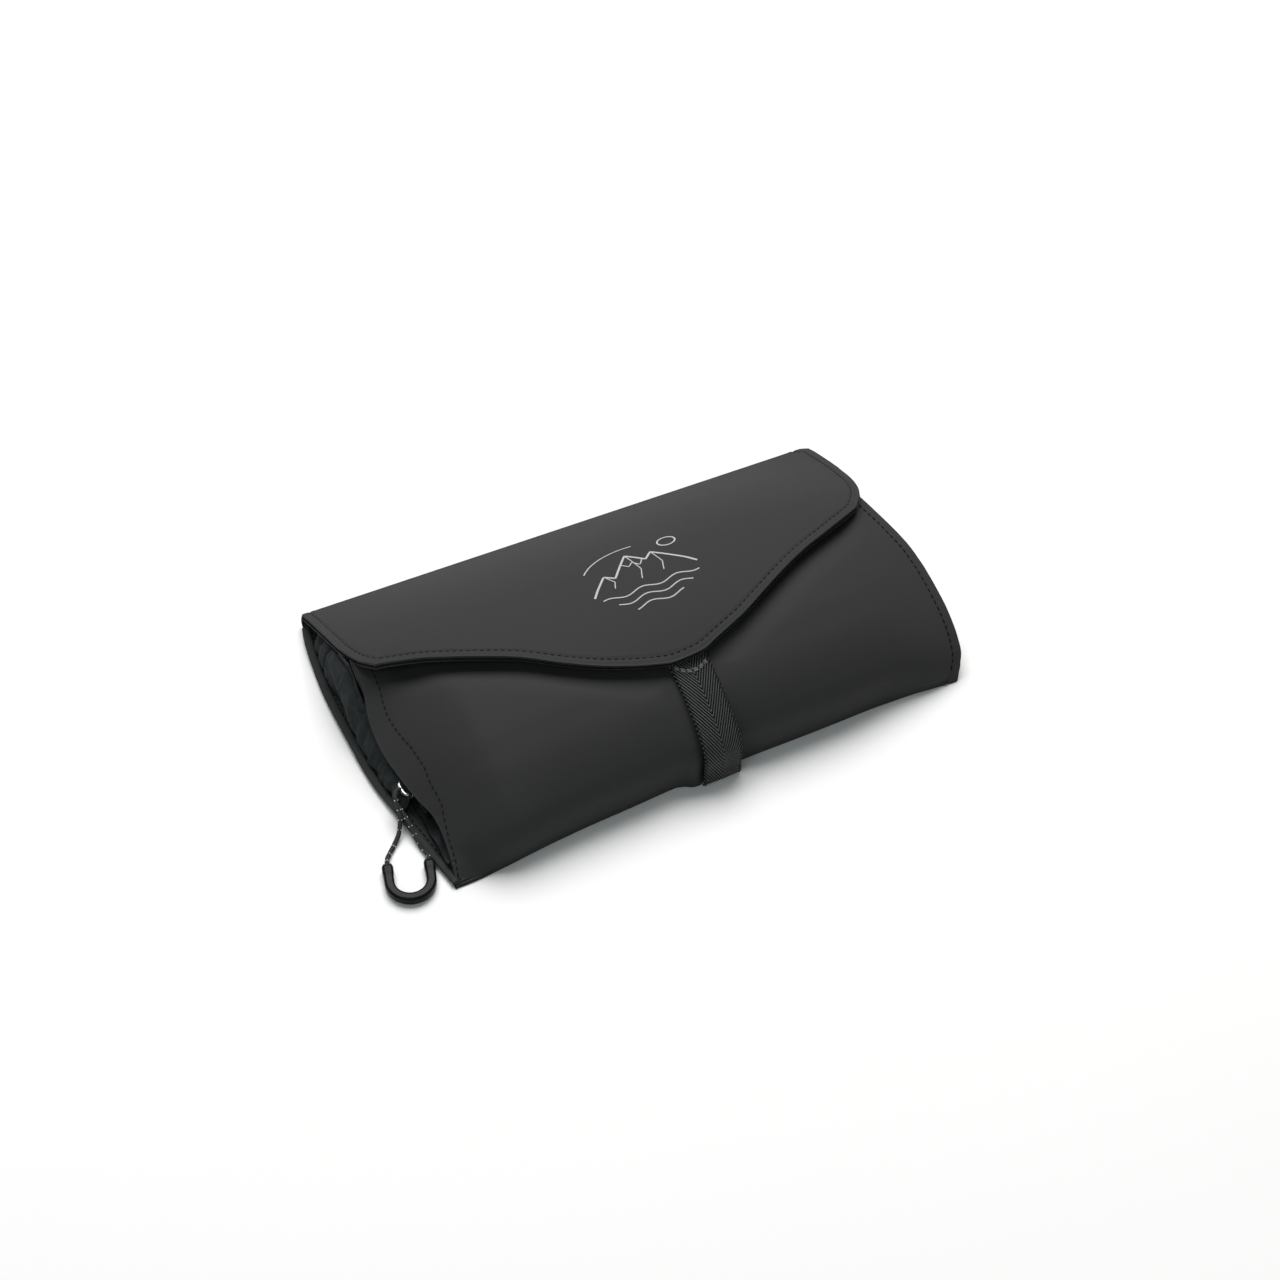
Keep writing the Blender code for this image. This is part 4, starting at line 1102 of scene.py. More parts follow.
def make_rear_fold(flap):
    """The shell cloth that turns from the base panel round into the flap."""
    top = flap[:, 0]
    shares = np.linspace(0.0, 1.0, 14)
    grid = np.zeros((len(top), len(shares), 3))
    ends = np.clip((np.abs(top[:, 0]) - 100.0) / 20.0, 0.0, 1.0)
    for j, share in enumerate(shares):
        turn = math.pi / 2 * (1 - share)
        grid[:, j, 0] = top[:, 0] * (1 + 0.006 * math.sin(turn) * ends)
        grid[:, j, 1] = top[:, 1] - REAR_FOLD_RADIUS * (1 - math.cos(turn))
        grid[:, j, 2] = TABLE_GAP + (top[:, 2] - TABLE_GAP) * (1 - math.sin(turn))
    grid[..., 1] += REAR_FOLD_BULGE * np.sin(math.pi * shares)[None, :]
    fold = skin("rear_fold_cloth", grid, SHELL, "shell", flip=True, seamless=("high_v",))
    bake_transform(fold)


def base_edges(y):
    """X of the base panel's left and right edges."""
    left = np.interp(y, BASE_LEFT_LINE.curve[:, 1], BASE_LEFT_LINE.curve[:, 0])
    right = np.interp(y, BASE_RIGHT_LINE.curve[:, 1], BASE_RIGHT_LINE.curve[:, 0])
    return left, right


def base_grid(low, inset=0.0, front=-79.0, rear=75.0):
    """A layer of the base panel at a height, taken in at its side edges."""
    across = uneven(-1.0, 1.0, 0.005, 0.03, 0.08, 0.08)
    ys = np.linspace(front, rear, 80)
    grid = np.zeros((len(across), len(ys), 3))
    for j, y in enumerate(ys):
        left, right = base_edges(y)
        x = (left + right) / 2 + across * ((right - left) / 2 - inset)
        back, _ = rear_skew(x, np.full(x.shape, y))
        inward = (fold_foot(x) - FOLD_FOOT[0][1]) * smoothstep((-40.0 - y) / 39.0)
        grid[:, j, 0] = x
        grid[:, j, 1] = y - back + inward
        side = np.abs(across) ** 8
        grid[:, j, 2] = low + side * 0.8 * (1 + 0.6 * np.sin(y / 9.0))
    return grid


def make_base():
    grid = hemmed(base_grid(1.5), ("low_u", "high_u"), rise=0.35)
    grid[..., 2] = np.maximum(grid[..., 2], 1.25)
    cloth = skin("base_cloth", grid, SHELL, "shell")
    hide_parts("base_shell")
    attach(cloth, "base")
    seam = stitches("base_seam", [seam_path(grid, "low_u", SEAM_INSET),
                                  seam_path(grid, "high_u", SEAM_INSET)])
    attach(seam, "base")
    for side, node in ((0, "base_binding_left"), (1, "base_binding_right")):
        band = make_binding(node, grid, side)
        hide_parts(node)
    lining = skin("base_lining_cloth", base_grid(2.3, inset=8.0, front=-72.0, rear=66.0),
                  0.5, "lining")
    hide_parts("base_lining")
    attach(lining, "base")


def make_binding(node, grid, side):
    """A folded tape round the base panel's side edge."""
    rim = grid[0] if side == 0 else grid[-1]
    away = -1.0 if side == 0 else 1.0
    profile = [(-2.6, 0.55), (-1.2, 0.75), (0.2, 0.55), (0.75, -0.15), (0.5, -0.85),
               (-0.4, -1.15)]
    ys = rim[:, 1]
    lines = []
    for out, up in profile:
        wave = 0.12 * np.sin(ys / 3.1 + side)
        lines.append(np.stack([rim[:, 0] + away * out, ys,
                               np.maximum(rim[:, 2] + up + wave, 0.12)], axis=1))
    strip = np.stack(lines, axis=1)
    band = skin(node + "_tape", strip, 0.35, "binding", flip=(side == 1))
    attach(band, "base")
    return band


# ---------------------------------------------------------------- cloth simulation

SIM_SCALE = 4.0
SIM_FRAMES = 16


def inflate(grid, pressure, slack, cap, flip=False):
    """The grid as loose cloth, held along its lower and upper sides and blown outwards.

    Slack is the share that the cloth may grow, and cap is how far in mm a point may move.
    """
    rows, columns = grid.shape[:2]
    index = np.arange(rows * columns).reshape(rows, columns)
    quads = grid_quads(index, flip)
    mesh = bpy.data.meshes.new("loose")
    mesh.from_pydata((grid.reshape(-1, 3) * MM * SIM_SCALE).tolist(), [], quads.tolist())
    loose = put("loose", mesh)
    group = loose.vertex_groups.new(name="held")
    group.add(index[:, (0, -1)].ravel().tolist(), 1.0, "REPLACE")
    cloth = loose.modifiers.new("cloth", "CLOTH")
    settings = cloth.settings
    settings.quality = 6
    settings.mass = 0.15
    settings.tension_stiffness = settings.compression_stiffness = 18.0
    settings.shear_stiffness = 8.0
    settings.bending_stiffness = 0.02
    settings.vertex_group_mass = "held"
    settings.shrink_min = -slack
    settings.use_pressure = True
    settings.uniform_pressure_force = pressure
    settings.effector_weights.gravity = 0.0
    cloth.collision_settings.use_collision = False
    cloth.point_cache.frame_start, cloth.point_cache.frame_end = 1, SIM_FRAMES
    for step in range(1, SIM_FRAMES + 1):
        bpy.context.scene.frame_set(step)
    settled = loose.evaluated_get(bpy.context.evaluated_depsgraph_get())
    moved = np.zeros(rows * columns * 3)
    settled.data.vertices.foreach_get("co", moved)
    moved = moved.reshape(rows, columns, 3) / MM / SIM_SCALE
    bpy.data.objects.remove(loose)
    bpy.context.scene.frame_set(1)
    shift = moved - grid
    size = np.maximum(np.linalg.norm(shift, axis=-1, keepdims=True), 1e-9)
    return grid + shift * np.minimum(1.0, cap / size)


# ---------------------------------------------------------------- end gussets

# Front and rear end along Y of the left (-1) and right (1) gusset
GUSSET_SPAN = {-1: (-36.0, 66.0), 1: (-66.0, 50.0)}
GUSSET_INSET = 5.2
GUSSET_LOW = 2.3

# Creases of the gussets: place along Y, depth and width
GUSSET_CREASES = ((56.0, 1.2, 2.6), (46.0, 2.8, 1.2), (22.0, 0.7, 5.0), (-12.0, 0.8, 4.0),
                  (-26.0, 1.4, 1.6), (-31.5, 2.0, 1.4))


def gusset_top(y, side):
    """Height under the layer that covers an end gusset."""
    border = LEFT if side < 0 else RIGHT
    under = np.interp(y, border.curve[:, 1], border.curve[:, 2])
    distances = np.linspace(0.0, 90.0, 60)
    flap = flap_place(np.full(60, side * (HALF - 3.0)), distances)
    cover = np.interp(y, flap[::-1, 1], flap[::-1, 2])
    reach = border.curve[:, 1].max()
    return np.where(y < reach, under - 2.0, np.minimum(cover - 3.2, 33.0))


def make_end_gusset(side, name):
    """The puffy side wall between the base panel and the layers above it."""
    front, rear = GUSSET_SPAN[side]
    ys = np.linspace(front, rear, 110)
    left, right = base_edges(ys)
    foot = (left if side < 0 else right) - side * GUSSET_INSET
    top = gusset_top(ys, side)
    up = np.linspace(0.0, 1.0, 30)
    grid = np.zeros((len(ys), len(up), 3))
    for j, share in enumerate(up):
        bulge = 3.2 * math.sin(math.pi * min(1.0, share * 1.15)) ** 0.7
        slope = 4.0 * share ** 1.5
        grid[:, j, 0] = foot + side * bulge - side * slope
        grid[:, j, 1] = ys
        grid[:, j, 2] = GUSSET_LOW + (top - GUSSET_LOW) * share
    folds = ripple(grid * np.array((1.0, 1.0, 0.35)), 10.0, 7)
    creases = np.zeros(len(ys))
    for place, depth, width in GUSSET_CREASES:
        creases += depth * np.exp(-((ys - place) / width) ** 2)
    grid[..., 0] -= side * (folds * 0.45 + creases[:, None] * np.sin(math.pi * up) ** 0.5)
    grid = inflate(grid, 0.9, 0.05, 3.0, flip=(side > 0))
    wall = skin(name, grid, GUSSET, "gusset", flip=(side > 0))
    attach(wall, "base")
    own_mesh(wall)


MOUTH_CORNER = (-119.5, -36.0)
MOUTH_SIZE = (15.0, 35.0)


def make_mouth_lining():
    """Crumpled lining that shows in the open left end, next to the front fold."""
    us = np.linspace(0.0, 1.0, 40)
    vs = np.linspace(0.0, 1.0, 30)
    grid = np.zeros((len(us), len(vs), 3))
    u, v = np.meshgrid(us, vs, indexing="ij")
    grid[..., 0] = MOUTH_CORNER[0] + MOUTH_SIZE[0] * v
    grid[..., 1] = MOUTH_CORNER[1] - MOUTH_SIZE[1] * u
    grid[..., 2] = 3.4 + 2.2 * v + 2.4 * np.sin(2.3 * math.pi * (u + 0.35 * v)) ** 2
    grid[..., 2] += 0.8 * ripple(grid, 7.0, 4)
    grid[..., 2] = np.maximum(grid[..., 2], 3.2)
    sheet = skin("mouth_lining", grid, 0.5, "lining", flip=True)
    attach(sheet, "base")


# ---------------------------------------------------------------- strap

STRAP_ABOVE_FRONT = 1.9
STRAP_TUCK = 2.0
STRAP_ANCHOR = [(-41.5, 44.9), (-45.0, 44.3)]
STRAP_FOOT = [(-80.8, 4.6), (-80.6, 2.4), (-79.9, 1.0)]
STRAP_STEP = 0.4
STRAP_START = -47.0
STRAP_END = 7.5

# Bar tack: its two rows' distances from the strap's upper end, their bow and their slant
TACK_OFFSETS = (5.0, 5.8)
TACK_BOW = 4.6
TACK_SLANT = 1.2


def strap_line():
    """Side view of the strap's outer face: under the flap, down the front, to the table."""
    inner = FRONT.at(np.linspace(0.0, FRONT.length, 400))
    run = np.gradient(inner, axis=0)
    run /= np.linalg.norm(run, axis=1, keepdims=True)
    out = np.stack([-run[:, 1], run[:, 0]], axis=1)
    out *= np.sign(out[200, 1])
    dent = STRAP_DENT * smoothstep((-30.0 - inner[:, 0]) / 20.0)
    line = inner + out * (STRAP_ABOVE_FRONT - dent)[:, None]
    line[:, 0] += STRAP_TUCK * smoothstep((26.0 - line[:, 1]) / 20.0)
    line = line[(inner[:, 0] < STRAP_START) & (inner[:, 1] > STRAP_END)][::-1]
    return Line(STRAP_ANCHOR + [tuple(point) for point in line[::8]] + STRAP_FOOT, steps=4)


def make_strap():
    line = strap_line()
    shares = np.arange(0.0, line.length, STRAP_STEP)
    across = np.linspace(-STRAP_WIDTH / 2, STRAP_WIDTH / 2, 45)
    side = line.at(shares)
    grid = np.zeros((len(across), len(shares), 3))
    grid[..., 0] = TIP_X + across[:, None]
    grid[..., 1] = side[:, 0]
    grid[..., 2] = side[:, 1]
    sway = 0.5 * np.sin(shares / 21.0 + 0.6)
    grid[..., 0] += sway[None, :]
    edge = np.exp(-((STRAP_WIDTH / 2 - np.abs(across)) / 0.8) ** 2)
    ribs = np.sin(2 * math.pi * (shares[None, :] + RIB_SLOPE * np.abs(across)[:, None])
                  / RIB_PITCH)
    relief = 0.16 * edge[:, None] + 0.14 * ripple(grid, 9.0, 8) + 0.11 * ribs
    relief += 0.30 * np.cos(across / STRAP_WIDTH * math.pi)[:, None]
    grid = grid - grid_normals(grid) * (relief - 0.1)[..., None]
    grid[..., 2] = np.maximum(grid[..., 2], 0.9)
    uv = np.stack(np.meshgrid(across, shares, indexing="ij"), axis=-1)
    band = skin("strap_band", grid, WEBBING, "webbing", uv=uv, flip=True)
    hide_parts("strap_webbing", "strap_anchor")
    out = -grid_normals(grid)
    columns = np.linspace(3, len(across) - 4, 17)
    tacks = []
    for offset in TACK_OFFSETS:
        share = 2 * columns / (len(across) - 1) - 1
        place = offset + TACK_BOW * (1 - share ** 2) + TACK_SLANT * share
        spots = (np.rint(columns).astype(int), np.rint(place / STRAP_STEP).astype(int))
        tacks.append((grid[spots], out[spots]))
    tack = stitches("strap_bar_tack", tacks, "tack", pitch=2.9, length=2.5, radius=0.46)
    edges = [(grid[column, 8::2], out[column, 8::2]) for column in (1, len(across) - 2)]
    selvedge = stitches("strap_selvedge", edges, "webbing", pitch=1.0, length=0.85,
                        radius=0.22, lift=0.0)
    for piece in (band, tack, selvedge):
        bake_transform(piece)


def make_fastener(node, body, above):
    """A patch of hook-and-loop tape behind the strap: a small sheet with a rough pile.

    It follows the strap or the front, whichever it is sewn to; above is its lift from it.
    """
    low, high = box_mm(node)
    us = np.linspace(low[0], high[0], 40)
    if body == "strap":
        side = strap_line().curve + np.array((WEBBING + above, 0.0))
    else:
        shares = np.linspace(0.0, 1.0, 300)
        side = front_place(np.full(300, TIP_X), shares)[:, 1:]
        side = side + np.array((STRAP_DENT - above, 0.0))
    side = side[(side[:, 1] > low[2]) & (side[:, 1] < high[2]) & (side[:, 0] < -55.0)]
    side = Line([tuple(point) for point in side[::3]], steps=4)
    vs = np.linspace(0.0, side.length, 26)
    place = side.at(vs)
    grid = np.zeros((len(us), len(vs), 3))
    grid[..., 0] = us[:, None]
    grid[..., 1] = place[:, 0]
    grid[..., 2] = place[:, 1]
    grid[..., 1] += 0.08 * ripple(grid, 0.9, 9)
    patch = skin(node + "_pile", grid, 0.25, "fuzz")
    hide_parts(node)
    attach(patch, body)


# ---------------------------------------------------------------- printed emblem

EMBLEM_X = 7.5
EMBLEM_DISTANCE = 89.0
EMBLEM_LIFT = 0.25


def emblem_strokes():
    """Lines of a made-up mountain sign: (points, half width), x right and y down, in mm."""
    strokes = []
    ridge = [(-25.0, 6.0), (-15.5, -6.0), (-11.5, -2.0), (-1.0, -17.0), (5.5, -8.0),
             (9.5, -12.5), (24.0, 6.0)]
    strokes.append((ridge, 0.52))
    strokes.append(([(-5.6, -10.4), (-3.0, -6.8), (-0.6, -9.4), (1.8, -5.4), (4.4, -9.6)], 0.30))
    strokes.append(([(-15.5, -6.0), (-12.8, 0.5), (-14.5, 4.5)], 0.26))
    strokes.append(([(-1.0, -17.0), (0.8, -2.0), (-1.6, 4.5)], 0.26))
    strokes.append(([(9.5, -12.5), (11.0, -2.0), (9.0, 4.0)], 0.26))
    for row, half in ((10.0, 22.5), (14.5, 17.5), (19.0, 11.5)):
        wave = [(x, row + 1.1 * math.sin(x / 2.6)) for x in np.linspace(-half, half, 60)]
        strokes.append((wave, 0.34))
    sun = [(19.0 + 4.0 * math.cos(a), -17.0 + 4.0 * math.sin(a))
           for a in np.linspace(0, 2 * math.pi, 33)]
    strokes.append((sun, 0.40))
    arc = [(27.5 * math.sin(a), 4.5 - 29.0 * math.cos(a)) for a in np.linspace(-0.92, 0.18, 40)]
    strokes.append((arc, 0.34))
    return strokes


def make_emblem():
    """The strokes as thin raised bands of ink that follow the flap."""
    points, faces, uvs = [], [], []
    for stroke, half in emblem_strokes():
        stroke = np.array(stroke)
        reach = reach_along(stroke)
        even = np.linspace(0.0, reach[-1], max(3, int(reach[-1] / 0.8)))
        line = read_along(stroke, reach, even)
        run = np.gradient(line, axis=0)
        run /= np.linalg.norm(run, axis=1, keepdims=True)
        beside = np.stack([-run[:, 1], run[:, 0]], axis=1)
        first = len(points)
        for edge, lift in ((-half, 0.0), (-half * 0.8, 0.10), (half * 0.8, 0.10), (half, 0.0)):
            plan = line + beside * edge
            places, _ = on_flap(EMBLEM_X + plan[:, 0], EMBLEM_DISTANCE + plan[:, 1],
                                lift=lift + 0.02 + EMBLEM_LIFT)
            points += list(places)
            uvs += [(r, edge) for r in even]
        count = len(line)
        for strip in range(3):
            for step in range(count - 1):
                corner = first + strip * count + step
                faces.append((corner, corner + 1, corner + count + 1, corner + count))
        for step in range(count - 1):
            corner = first + step
            faces.append((corner, corner + 3 * count, corner + 3 * count + 1, corner + 1))
        for end in (0, count - 1):
            faces.append(tuple(first + strip * count + end for strip in range(4)))
    emblem = make_object("flap_emblem", points, faces, "print", uv=uvs, smooth=False)
    fix_normals(emblem)
    bend_flap(emblem)


# ---------------------------------------------------------------- hidden pouches

NET_PITCH = 3.4
NET_THREAD = 0.55
FACE_BORDER = 15.0
FACE_REAR_HEM = 7.5
COIL_PITCH = 1.15
STRIP_STEP = 1.5


def rounded_loop(half_x, front, rear, radius, count=160):
    """Evenly spaced (x, y) points round a rounded rectangle; the first comes again at the end."""
    outline = []
    for x, y, start in ((half_x - radius, rear - radius, 0.0),
                        (-half_x + radius, rear - radius, 0.5),
                        (-half_x + radius, front + radius, 1.0),
                        (half_x - radius, front + radius, 1.5)):
        for turn in np.linspace(start, start + 0.5, 9) * math.pi:
            outline.append((x + radius * math.cos(turn), y + radius * math.sin(turn)))
    outline.append(outline[0])
    outline = np.array(outline)
    reach = reach_along(outline)
    return read_along(outline, reach, np.linspace(0.0, reach[-1], count + 1))


def make_net(name, half_x, front, rear, height, body, node):
    """A net of real six-sided holes."""
    shape = bmesh.new()
    rows = int((rear - front) / (NET_PITCH * 0.866))
    columns = int(2 * half_x / NET_PITCH)
    step_y = (rear - front) / rows
    step_x = 2 * half_x / columns
    corners = {}

    def corner(x, y):
        key = (round(x, 3), round(y, 3))
        if key not in corners:
            corners[key] = shape.verts.new((x * MM, y * MM, height(x, y) * MM))
        return corners[key]

    for row in range(rows):
        for column in range(columns):
            x = -half_x + step_x * (column + 0.5 + 0.5 * (row % 2))
            y = front + step_y * (row + 0.5)
            if x + step_x / 2 > half_x + 0.01:
                continue
            ring = [corner(x + dx * step_x / 2, y + dy * step_y / 6)
                    for dx, dy in ((0, 4), (-1, 2), (-1, -2), (0, -4), (1, -2), (1, 2))]
            if len(set(ring)) == 6:
                shape.faces.new(ring)
    mesh = bpy.data.meshes.new(name)
    shape.to_mesh(mesh)
    shape.free()
    mesh.materials.append(M["net"])
    net = put(name, mesh)
    wire = net.modifiers.new("threads", "WIREFRAME")
    wire.thickness = NET_THREAD * MM
    bpy.context.view_layer.objects.active = net
    bpy.ops.object.modifier_apply(modifier="threads")
    net.data.shade_smooth()
    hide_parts(node)
    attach(net, body)


def under_front(x, y):
    """Height under the front panel's lining at a place of the lower pouch."""
    line = front_place(np.full(200, x), np.linspace(0.25, 1.0, 200))
    return max(np.interp(y, line[:, 1], line[:, 2]) - 3.0 - TUCK_DEPTH, 23.0)


def make_pouch(prefix, half_x, front, rear, low, high, face, mesh_rear, body, side):
    """Gusset wall, bordered face and net window. Side is +1 where the face looks up.

    Low and high are the wall's heights, and high is read by place.
    """
    loop = rounded_loop(half_x, front, rear, 12.0)
    ups = np.linspace(0.0, 1.0, 12)
    grid = np.zeros((len(loop), len(ups), 3))
    tops = np.array([high(x, y) for x, y in loop])
    centre = np.array((0.0, (front + rear) / 2))
    for j, share in enumerate(ups):
        out = 0.9 * math.sin(math.pi * share)
        away = loop - centre
        away /= np.linalg.norm(away, axis=1, keepdims=True)
        grid[:, j, :2] = loop + away * (out - 0.4)
        grid[:, j, 2] = low + (tops - low) * share
    creases = ripple(grid * np.array((1.0, 1.0, 0.4)), 9.0, 6)
    pinch = np.sin(math.pi * ups)[None, :]
    normals = grid_normals(grid)
    creases[-1], normals[-1] = creases[0], normals[0]
    grid = grid + normals * (0.8 * creases * pinch)[..., None]
    wall = skin(prefix + "_gusset_wall", grid, GUSSET, "gusset")
    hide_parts(prefix + "_gusset")
    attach(wall, body)

    net_half, net_front = half_x - FACE_BORDER, front + FACE_BORDER
    window = rounded_loop(net_half, net_front, mesh_rear, 6.0)
    edge = rounded_loop(half_x, front, mesh_rear + FACE_REAR_HEM, 9.0)
    vs = np.linspace(0.0, 1.0, 14)
    grid = np.zeros((len(edge), len(vs), 3))
    for j, share in enumerate(vs):
        grid[:, j, :2] = edge * (1 - share) + window * share
        grid[:, j, 2] = face + side * 0.5 * math.sin(math.pi * share)
    waves = ripple(grid, 16.0, 4) * np.sin(math.pi * vs)[None, :]
    waves[-1] = waves[0]
    grid[..., 2] += 0.5 * waves
    cloth = skin(prefix + "_face_cloth", grid, GUSSET, "lining", flip=(side < 0))
    rows = [grid[:, 1], grid[:, -2]]
    out = np.zeros_like(rows[0])
    out[:, 2] = side
    seam = stitches(prefix + "_face_seam", [(row, out) for row in rows], pitch=2.6, length=1.8,
                    radius=0.2)
    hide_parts(prefix + "_face")
    for piece in (cloth, seam):
        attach(piece, body)
    make_net(prefix + "_net", net_half, net_front, mesh_rear,
             lambda x, y: face - side * 0.25 + 0.15 * math.sin(x / 9.0) * math.sin(y / 7.0),
             body, prefix + "_mesh")


def strip(node, path, span, thickness, material, slot, body, ending="_cloth", along="X",
          flip=False):
    """A band of cloth: a path in side view drawn out along one axis, over a span of it."""
    line = Line(path, steps=4)
    rows = np.linspace(0.0, line.length, max(4, int(line.length / 0.9)))
    places = np.arange(span[0], span[1] + 0.01, STRIP_STEP)
    places[-1] = span[1]
    side = line.at(rows)
    grid = np.zeros((len(places), len(rows), 3))
    first, second = (0, 1) if along == "X" else (1, 0)
    grid[..., first] = places[:, None]
    grid[..., second] = side[:, 0]
    grid[..., 2] = side[:, 1]
    wave = ripple(grid, 14.0, 3) * 0.25
    wave *= np.minimum(1.0, np.arange(len(rows)) / 3.0)[None, :]
    grid = grid + grid_normals(grid) * wave[..., None]
    band = skin(node + ending, grid, thickness, material, flip=flip)
    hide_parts(node)
    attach(band, body)


def make_coil(name, start, end, radius, body, node):
    """A zip coil: one long spiral with the tape's cord through it."""
    start, end = np.array(start), np.array(end)
    length = np.linalg.norm(end - start)
    run = (end - start) / length
    up = np.array((0.0, 0.0, 1.0))
    beside = np.cross(run, up)
    turns = length / COIL_PITCH
    steps = np.linspace(0.0, 1.0, int(turns * 9))
    angle = steps * turns * 2 * math.pi
    path = (start + steps[:, None] * (end - start)
            + radius * (np.cos(angle)[:, None] * beside + np.sin(angle)[:, None] * up * 0.75))
    coil = tube(name, path, 0.24, "coil", sides=5)
    core = tube("core", np.linspace(start, end, 12), radius * 0.6, "zip_tape", sides=6)
    coil = join(name, [coil, core])
    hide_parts(node)
    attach(coil, body)


# ---------------------------------------------------------------- zip sliders

SLIDER_HALF = 3.3
SLIDER_LENGTH = 9.5

# Plate: shares of its length and its width. Skirt: along and across. Bridge: along and out.
SLIDER_OUTLINE = [(-0.5, 0.46), (-0.47, 0.66), (-0.36, 0.76), (-0.18, 0.92), (0.0, 1.0),
                  (0.3, 1.0), (0.44, 0.94), (0.49, 0.78), (0.5, 0.6)]
SLIDER_SKIRT = [(-3.4, 2.3), (-1.5, 2.8), (0.5, 2.95), (4.2, 2.95)]
SLIDER_ARCH = [(-3.5, 2.1), (-3.7, 3.6), (-3.3, 4.9), (-2.2, 5.6), (0.0, 5.75), (2.2, 5.6),
               (3.3, 4.9), (3.7, 3.6), (3.5, 2.1)]

# The lower zip's line as X and Z, both zips' spans, and the tapes' thickness
LOWER_COIL = (-117.5, 10.0)
UPPER_ZIP_SPAN = (-100.0, 100.0)
LOWER_ZIP_SPAN = (-46.0, 14.0)
TAPE = 0.45
LOWER_SLIDER_PLACE = (-117.75, -31.0, 10.0)
LOWER_SLIDER_TILT = math.radians(36.0)


def make_slider(prefix, place):
    """A cast slider: a waisted rounded plate, two skirts and an arched bridge."""
    points = []
    sides = 28
    for share, width in SLIDER_OUTLINE:
        for side in range(sides):
            turn = 2 * math.pi * side / sides
            cosine, sine = math.cos(turn), math.sin(turn)
            reach = squircle(turn, 5)
            crown = 0.35 * (1 - (cosine * reach) ** 2)
            across = SLIDER_HALF * width * cosine * reach
            out = 1.75 + 0.62 * sine * reach + (crown if sine > 0 else 0.0)
            points.append(place(share * SLIDER_LENGTH, across, out))
    faces = capped_faces(len(SLIDER_OUTLINE), sides)
    plate = make_object("plate", points, faces, "metal")
    fix_normals(plate)
    things = [plate]
    for side in (-1, 1):
        skirt = [place(along, side * width, 0.75) for along, width in SLIDER_SKIRT]
        things.append(tube("skirt", skirt, 0.42, "metal", sides=8, squareness=3.5))
    arch = smooth_through([place(along, 0.0, out) for along, out in SLIDER_ARCH], 5)
    things.append(tube("arch", arch, 0.62, "metal", sides=14, squareness=2.6,
                       up=place(0, 1, 0) - place(0, 0, 0)))
    whole = join(prefix + "_slider_casting", things)
    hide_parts(prefix + "_slider", prefix + "_slider_bridge")
    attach(whole, prefix + "_slider")


def make_upper_slider():
    low, _ = box_mm("upper_slider")
    middle = np.array((-90.0, 33.0, low[2] - 0.3))

    def place(along, across, out):
        return middle + np.array((along, across, out))

    make_slider("upper", place)
    height = middle[2] + 3.9
    tab = rounded_loop(9.0, -2.6, 2.6, 2.4, count=48) + np.array((middle[0] + 7.5, middle[1]))
    hole = rounded_loop(3.4, -1.3, 1.3, 1.2, count=48) + np.array((middle[0] + 3.1, middle[1]))
    vs = np.linspace(0.0, 1.0, 6)
    grid = np.zeros((len(tab), len(vs), 3))
    for j, share in enumerate(vs):
        grid[:, j, :2] = tab * (1 - share) + hole * share
        grid[:, j, 2] = height + 0.40 + 0.12 * math.sin(math.pi * share)
    pull = skin("upper_slider_pull", grid, 0.9, "metal")
    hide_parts("upper_slider_tab")
    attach(pull, "upper_slider")


def make_lower_slider():
    cosine, sine = math.cos(LOWER_SLIDER_TILT), math.sin(LOWER_SLIDER_TILT)

    x, y, z = LOWER_SLIDER_PLACE

    def place(along, across, out):
        return np.array((x - out * cosine + across * sine * 0.6, y + along,
                         z + across * cosine + out * sine * 0.5))

    make_slider("lower", place)


def make_zips():
    tape = (TAPE, "zip_tape", "zip_tape")
    strip("upper_zip_tape_front", [(28.0, 14.9), (30.0, 14.95), (32.1, 14.9)],
          UPPER_ZIP_SPAN, *tape, "base")
    strip("upper_zip_tape_rear", [(33.9, 14.9), (36.0, 14.95), (38.0, 14.9)],
          UPPER_ZIP_SPAN, *tape, "base")
    strip("upper_top_strip", [(34.6, 14.0), (40.0, 14.3), (46.0, 13.9)],
          (-110.0, 110.0), GUSSET, "lining", "lining_fabric", "base")
    make_coil("upper_zip_spiral", (-100.0, 33.0, 14.6), (100.0, 33.0, 14.6), 0.62, "base",
              "upper_zip_coil")
    x, z = LOWER_COIL
    strip("lower_zip_tape_upper",
          [(x - 0.2, z + 0.9), (x - 0.2, z + 2.6), (x + 1.2, z + 3.6), (x + 9.0, z + 7.2),
           (-101.0, 22.0), (-100.9, 26.8)], LOWER_ZIP_SPAN, *tape, "front_top", along="Y",
          flip=True)
    strip("lower_zip_tape_lower",
          [(x - 0.2, z - 0.9), (x - 0.2, z - 4.0), (x + 1.0, z - 5.2), (x + 2.6, z - 4.0),
           (x + 3.4, z + 0.5), (x + 6.5, z + 4.3), (-101.0, 20.3)], LOWER_ZIP_SPAN, *tape,
          "front_top", along="Y")
    make_coil("lower_zip_spiral", (-117.7, -46.0, 10.0), (-117.7, 14.0, 10.0), 0.6,
              "front_top", "lower_zip_coil")


# ---------------------------------------------------------------- hanging hook

HOOK_HINGE = (60.0, 8.0)
HOOK_SLOPE = math.radians(33.0)
HOOK_ROD = 2.45
HOOK_BEND = 11.0
HOOK_FRAME = [(0.0, 12.3), (0.0, -12.3), (2.6, -12.4), (5.4, -11.0), (6.6, -6.0), (7.0, 0.0),
              (6.6, 6.0), (5.4, 11.0), (2.6, 12.4), (0.0, 12.3)]
TAB_RADIUS = 2.55


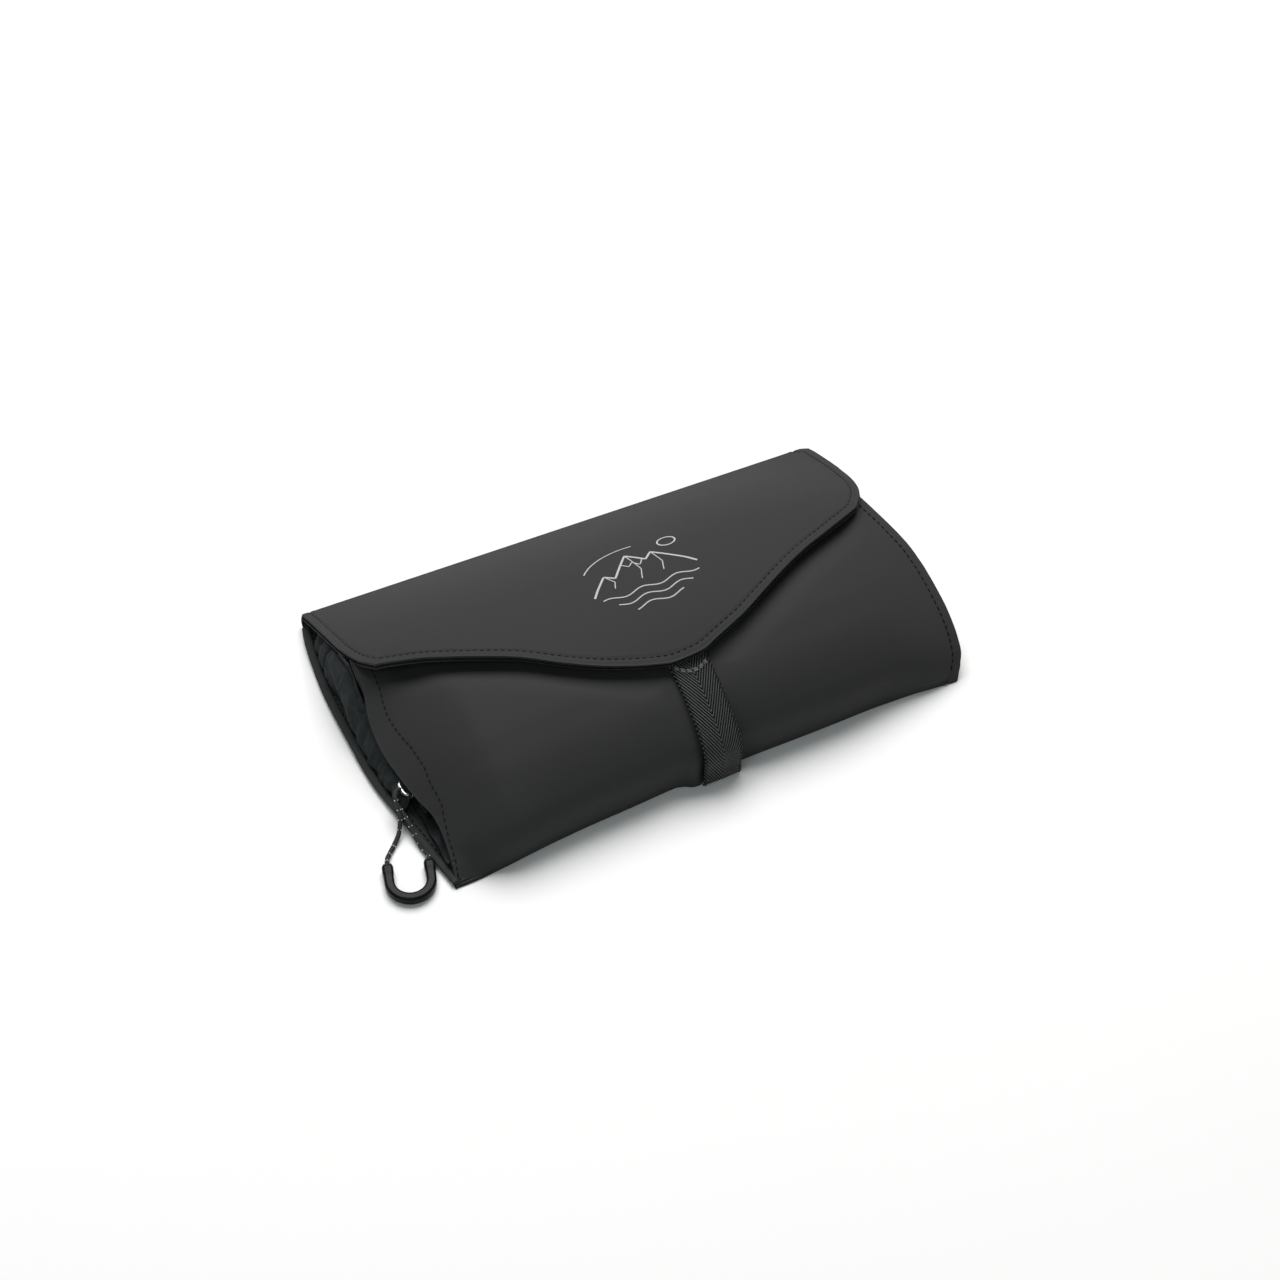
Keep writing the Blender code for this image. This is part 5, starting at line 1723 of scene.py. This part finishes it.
def hook_point(along, across, out):
    """A place on the hook: along it from its hinge, across it, and out of its plane."""
    y, z = HOOK_HINGE
    cosine, sine = math.cos(HOOK_SLOPE), math.sin(HOOK_SLOPE)
    return np.array((across, y - along * cosine + out * sine, z + along * sine + out * cosine))


def make_hook():
    up = hook_point(0, 0, 1) - hook_point(0, 0, 0)
    turns = np.radians(np.linspace(-170.0, 95.0, 40))
    arc = [hook_point(29.0 + HOOK_BEND * math.cos(turn), -HOOK_BEND * math.sin(turn), 0)
           for turn in turns]
    stem = [hook_point(7.0, 0, 0), hook_point(11.0, 0, 0), hook_point(15.5, -0.4, 0)]
    path = smooth_through([tuple(point) for point in stem + arc[2::3]], 4)
    radii = HOOK_ROD * np.ones(len(path))
    radii[-4:] *= (0.98, 0.93, 0.82, 0.55)
    bow = tube("bow", path, HOOK_ROD, "hook", sides=20, squareness=3.2, radii=radii, up=up,
               flat=0.65)
    ring = []
    for start, end in zip(HOOK_FRAME, HOOK_FRAME[1:]):
        for share in np.linspace(0.0, 1.0, 6)[:-1]:
            ring.append(hook_point(start[0] + (end[0] - start[0]) * share,
                                   start[1] + (end[1] - start[1]) * share, 0))
    ring.append(ring[0])
    foot = tube("foot", ring, 1.25, "hook", sides=14, squareness=3.0, up=up)
    web = [hook_point(6.0, 0, 0), hook_point(8.0, 0, 0), hook_point(12.0, 0, 0)]
    neck = tube("neck", web, 3.4, "hook", sides=18, squareness=3.0, up=up, flat=0.42,
                radii=np.array((4.2, 3.6, 2.4)))
    hook = join("hanging_hook_moulding", [bow, foot, neck])
    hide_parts("hanging_hook")
    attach(hook, "hook")
    y, z = HOOK_HINGE
    loop = [(y + TAB_RADIUS * math.cos(math.radians(angle)),
             z + TAB_RADIUS * math.sin(math.radians(angle))) for angle in range(250, -61, -22)]
    tail = [(y + 2.9, z - 4.4), (y + 3.4, 2.7), (y + 8.0, 2.4)]
    strip("hook_tab", loop + tail, (-9.0, 9.0), 0.8, "webbing", "webbing", "base",
          ending="_webbing")


# ---------------------------------------------------------------- build

make_camera()
make_cord(make_pull_end())
make_studio()
flap = make_flap()
make_front()
make_rear_fold(flap)
make_base()
make_end_gusset(-1, "left_gusset_cloth")
make_end_gusset(1, "right_gusset_cloth")
make_mouth_lining()
make_strap()
make_fastener("strap_loop_patch", "front_wall", 0.75)
make_fastener("strap_hook_patch", "strap", 0.45)
make_emblem()
make_pouch("upper", half_x=110.0, front=-58.0, rear=46.0, low=2.4, high=lambda x, y: 13.0,
           face=14.0, mesh_rear=23.5, body="base", side=1)
make_pouch("lower", half_x=100.0, front=-44.0, rear=18.5, low=22.0, high=under_front,
           face=21.0, mesh_rear=11.0, body="front_top", side=-1)
make_zips()
make_upper_slider()
make_lower_slider()
make_hook()

low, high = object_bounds()
print("SIZE", [[round(v / MM, 1) for v in end] for end in (cad_low, cad_high, low, high)])
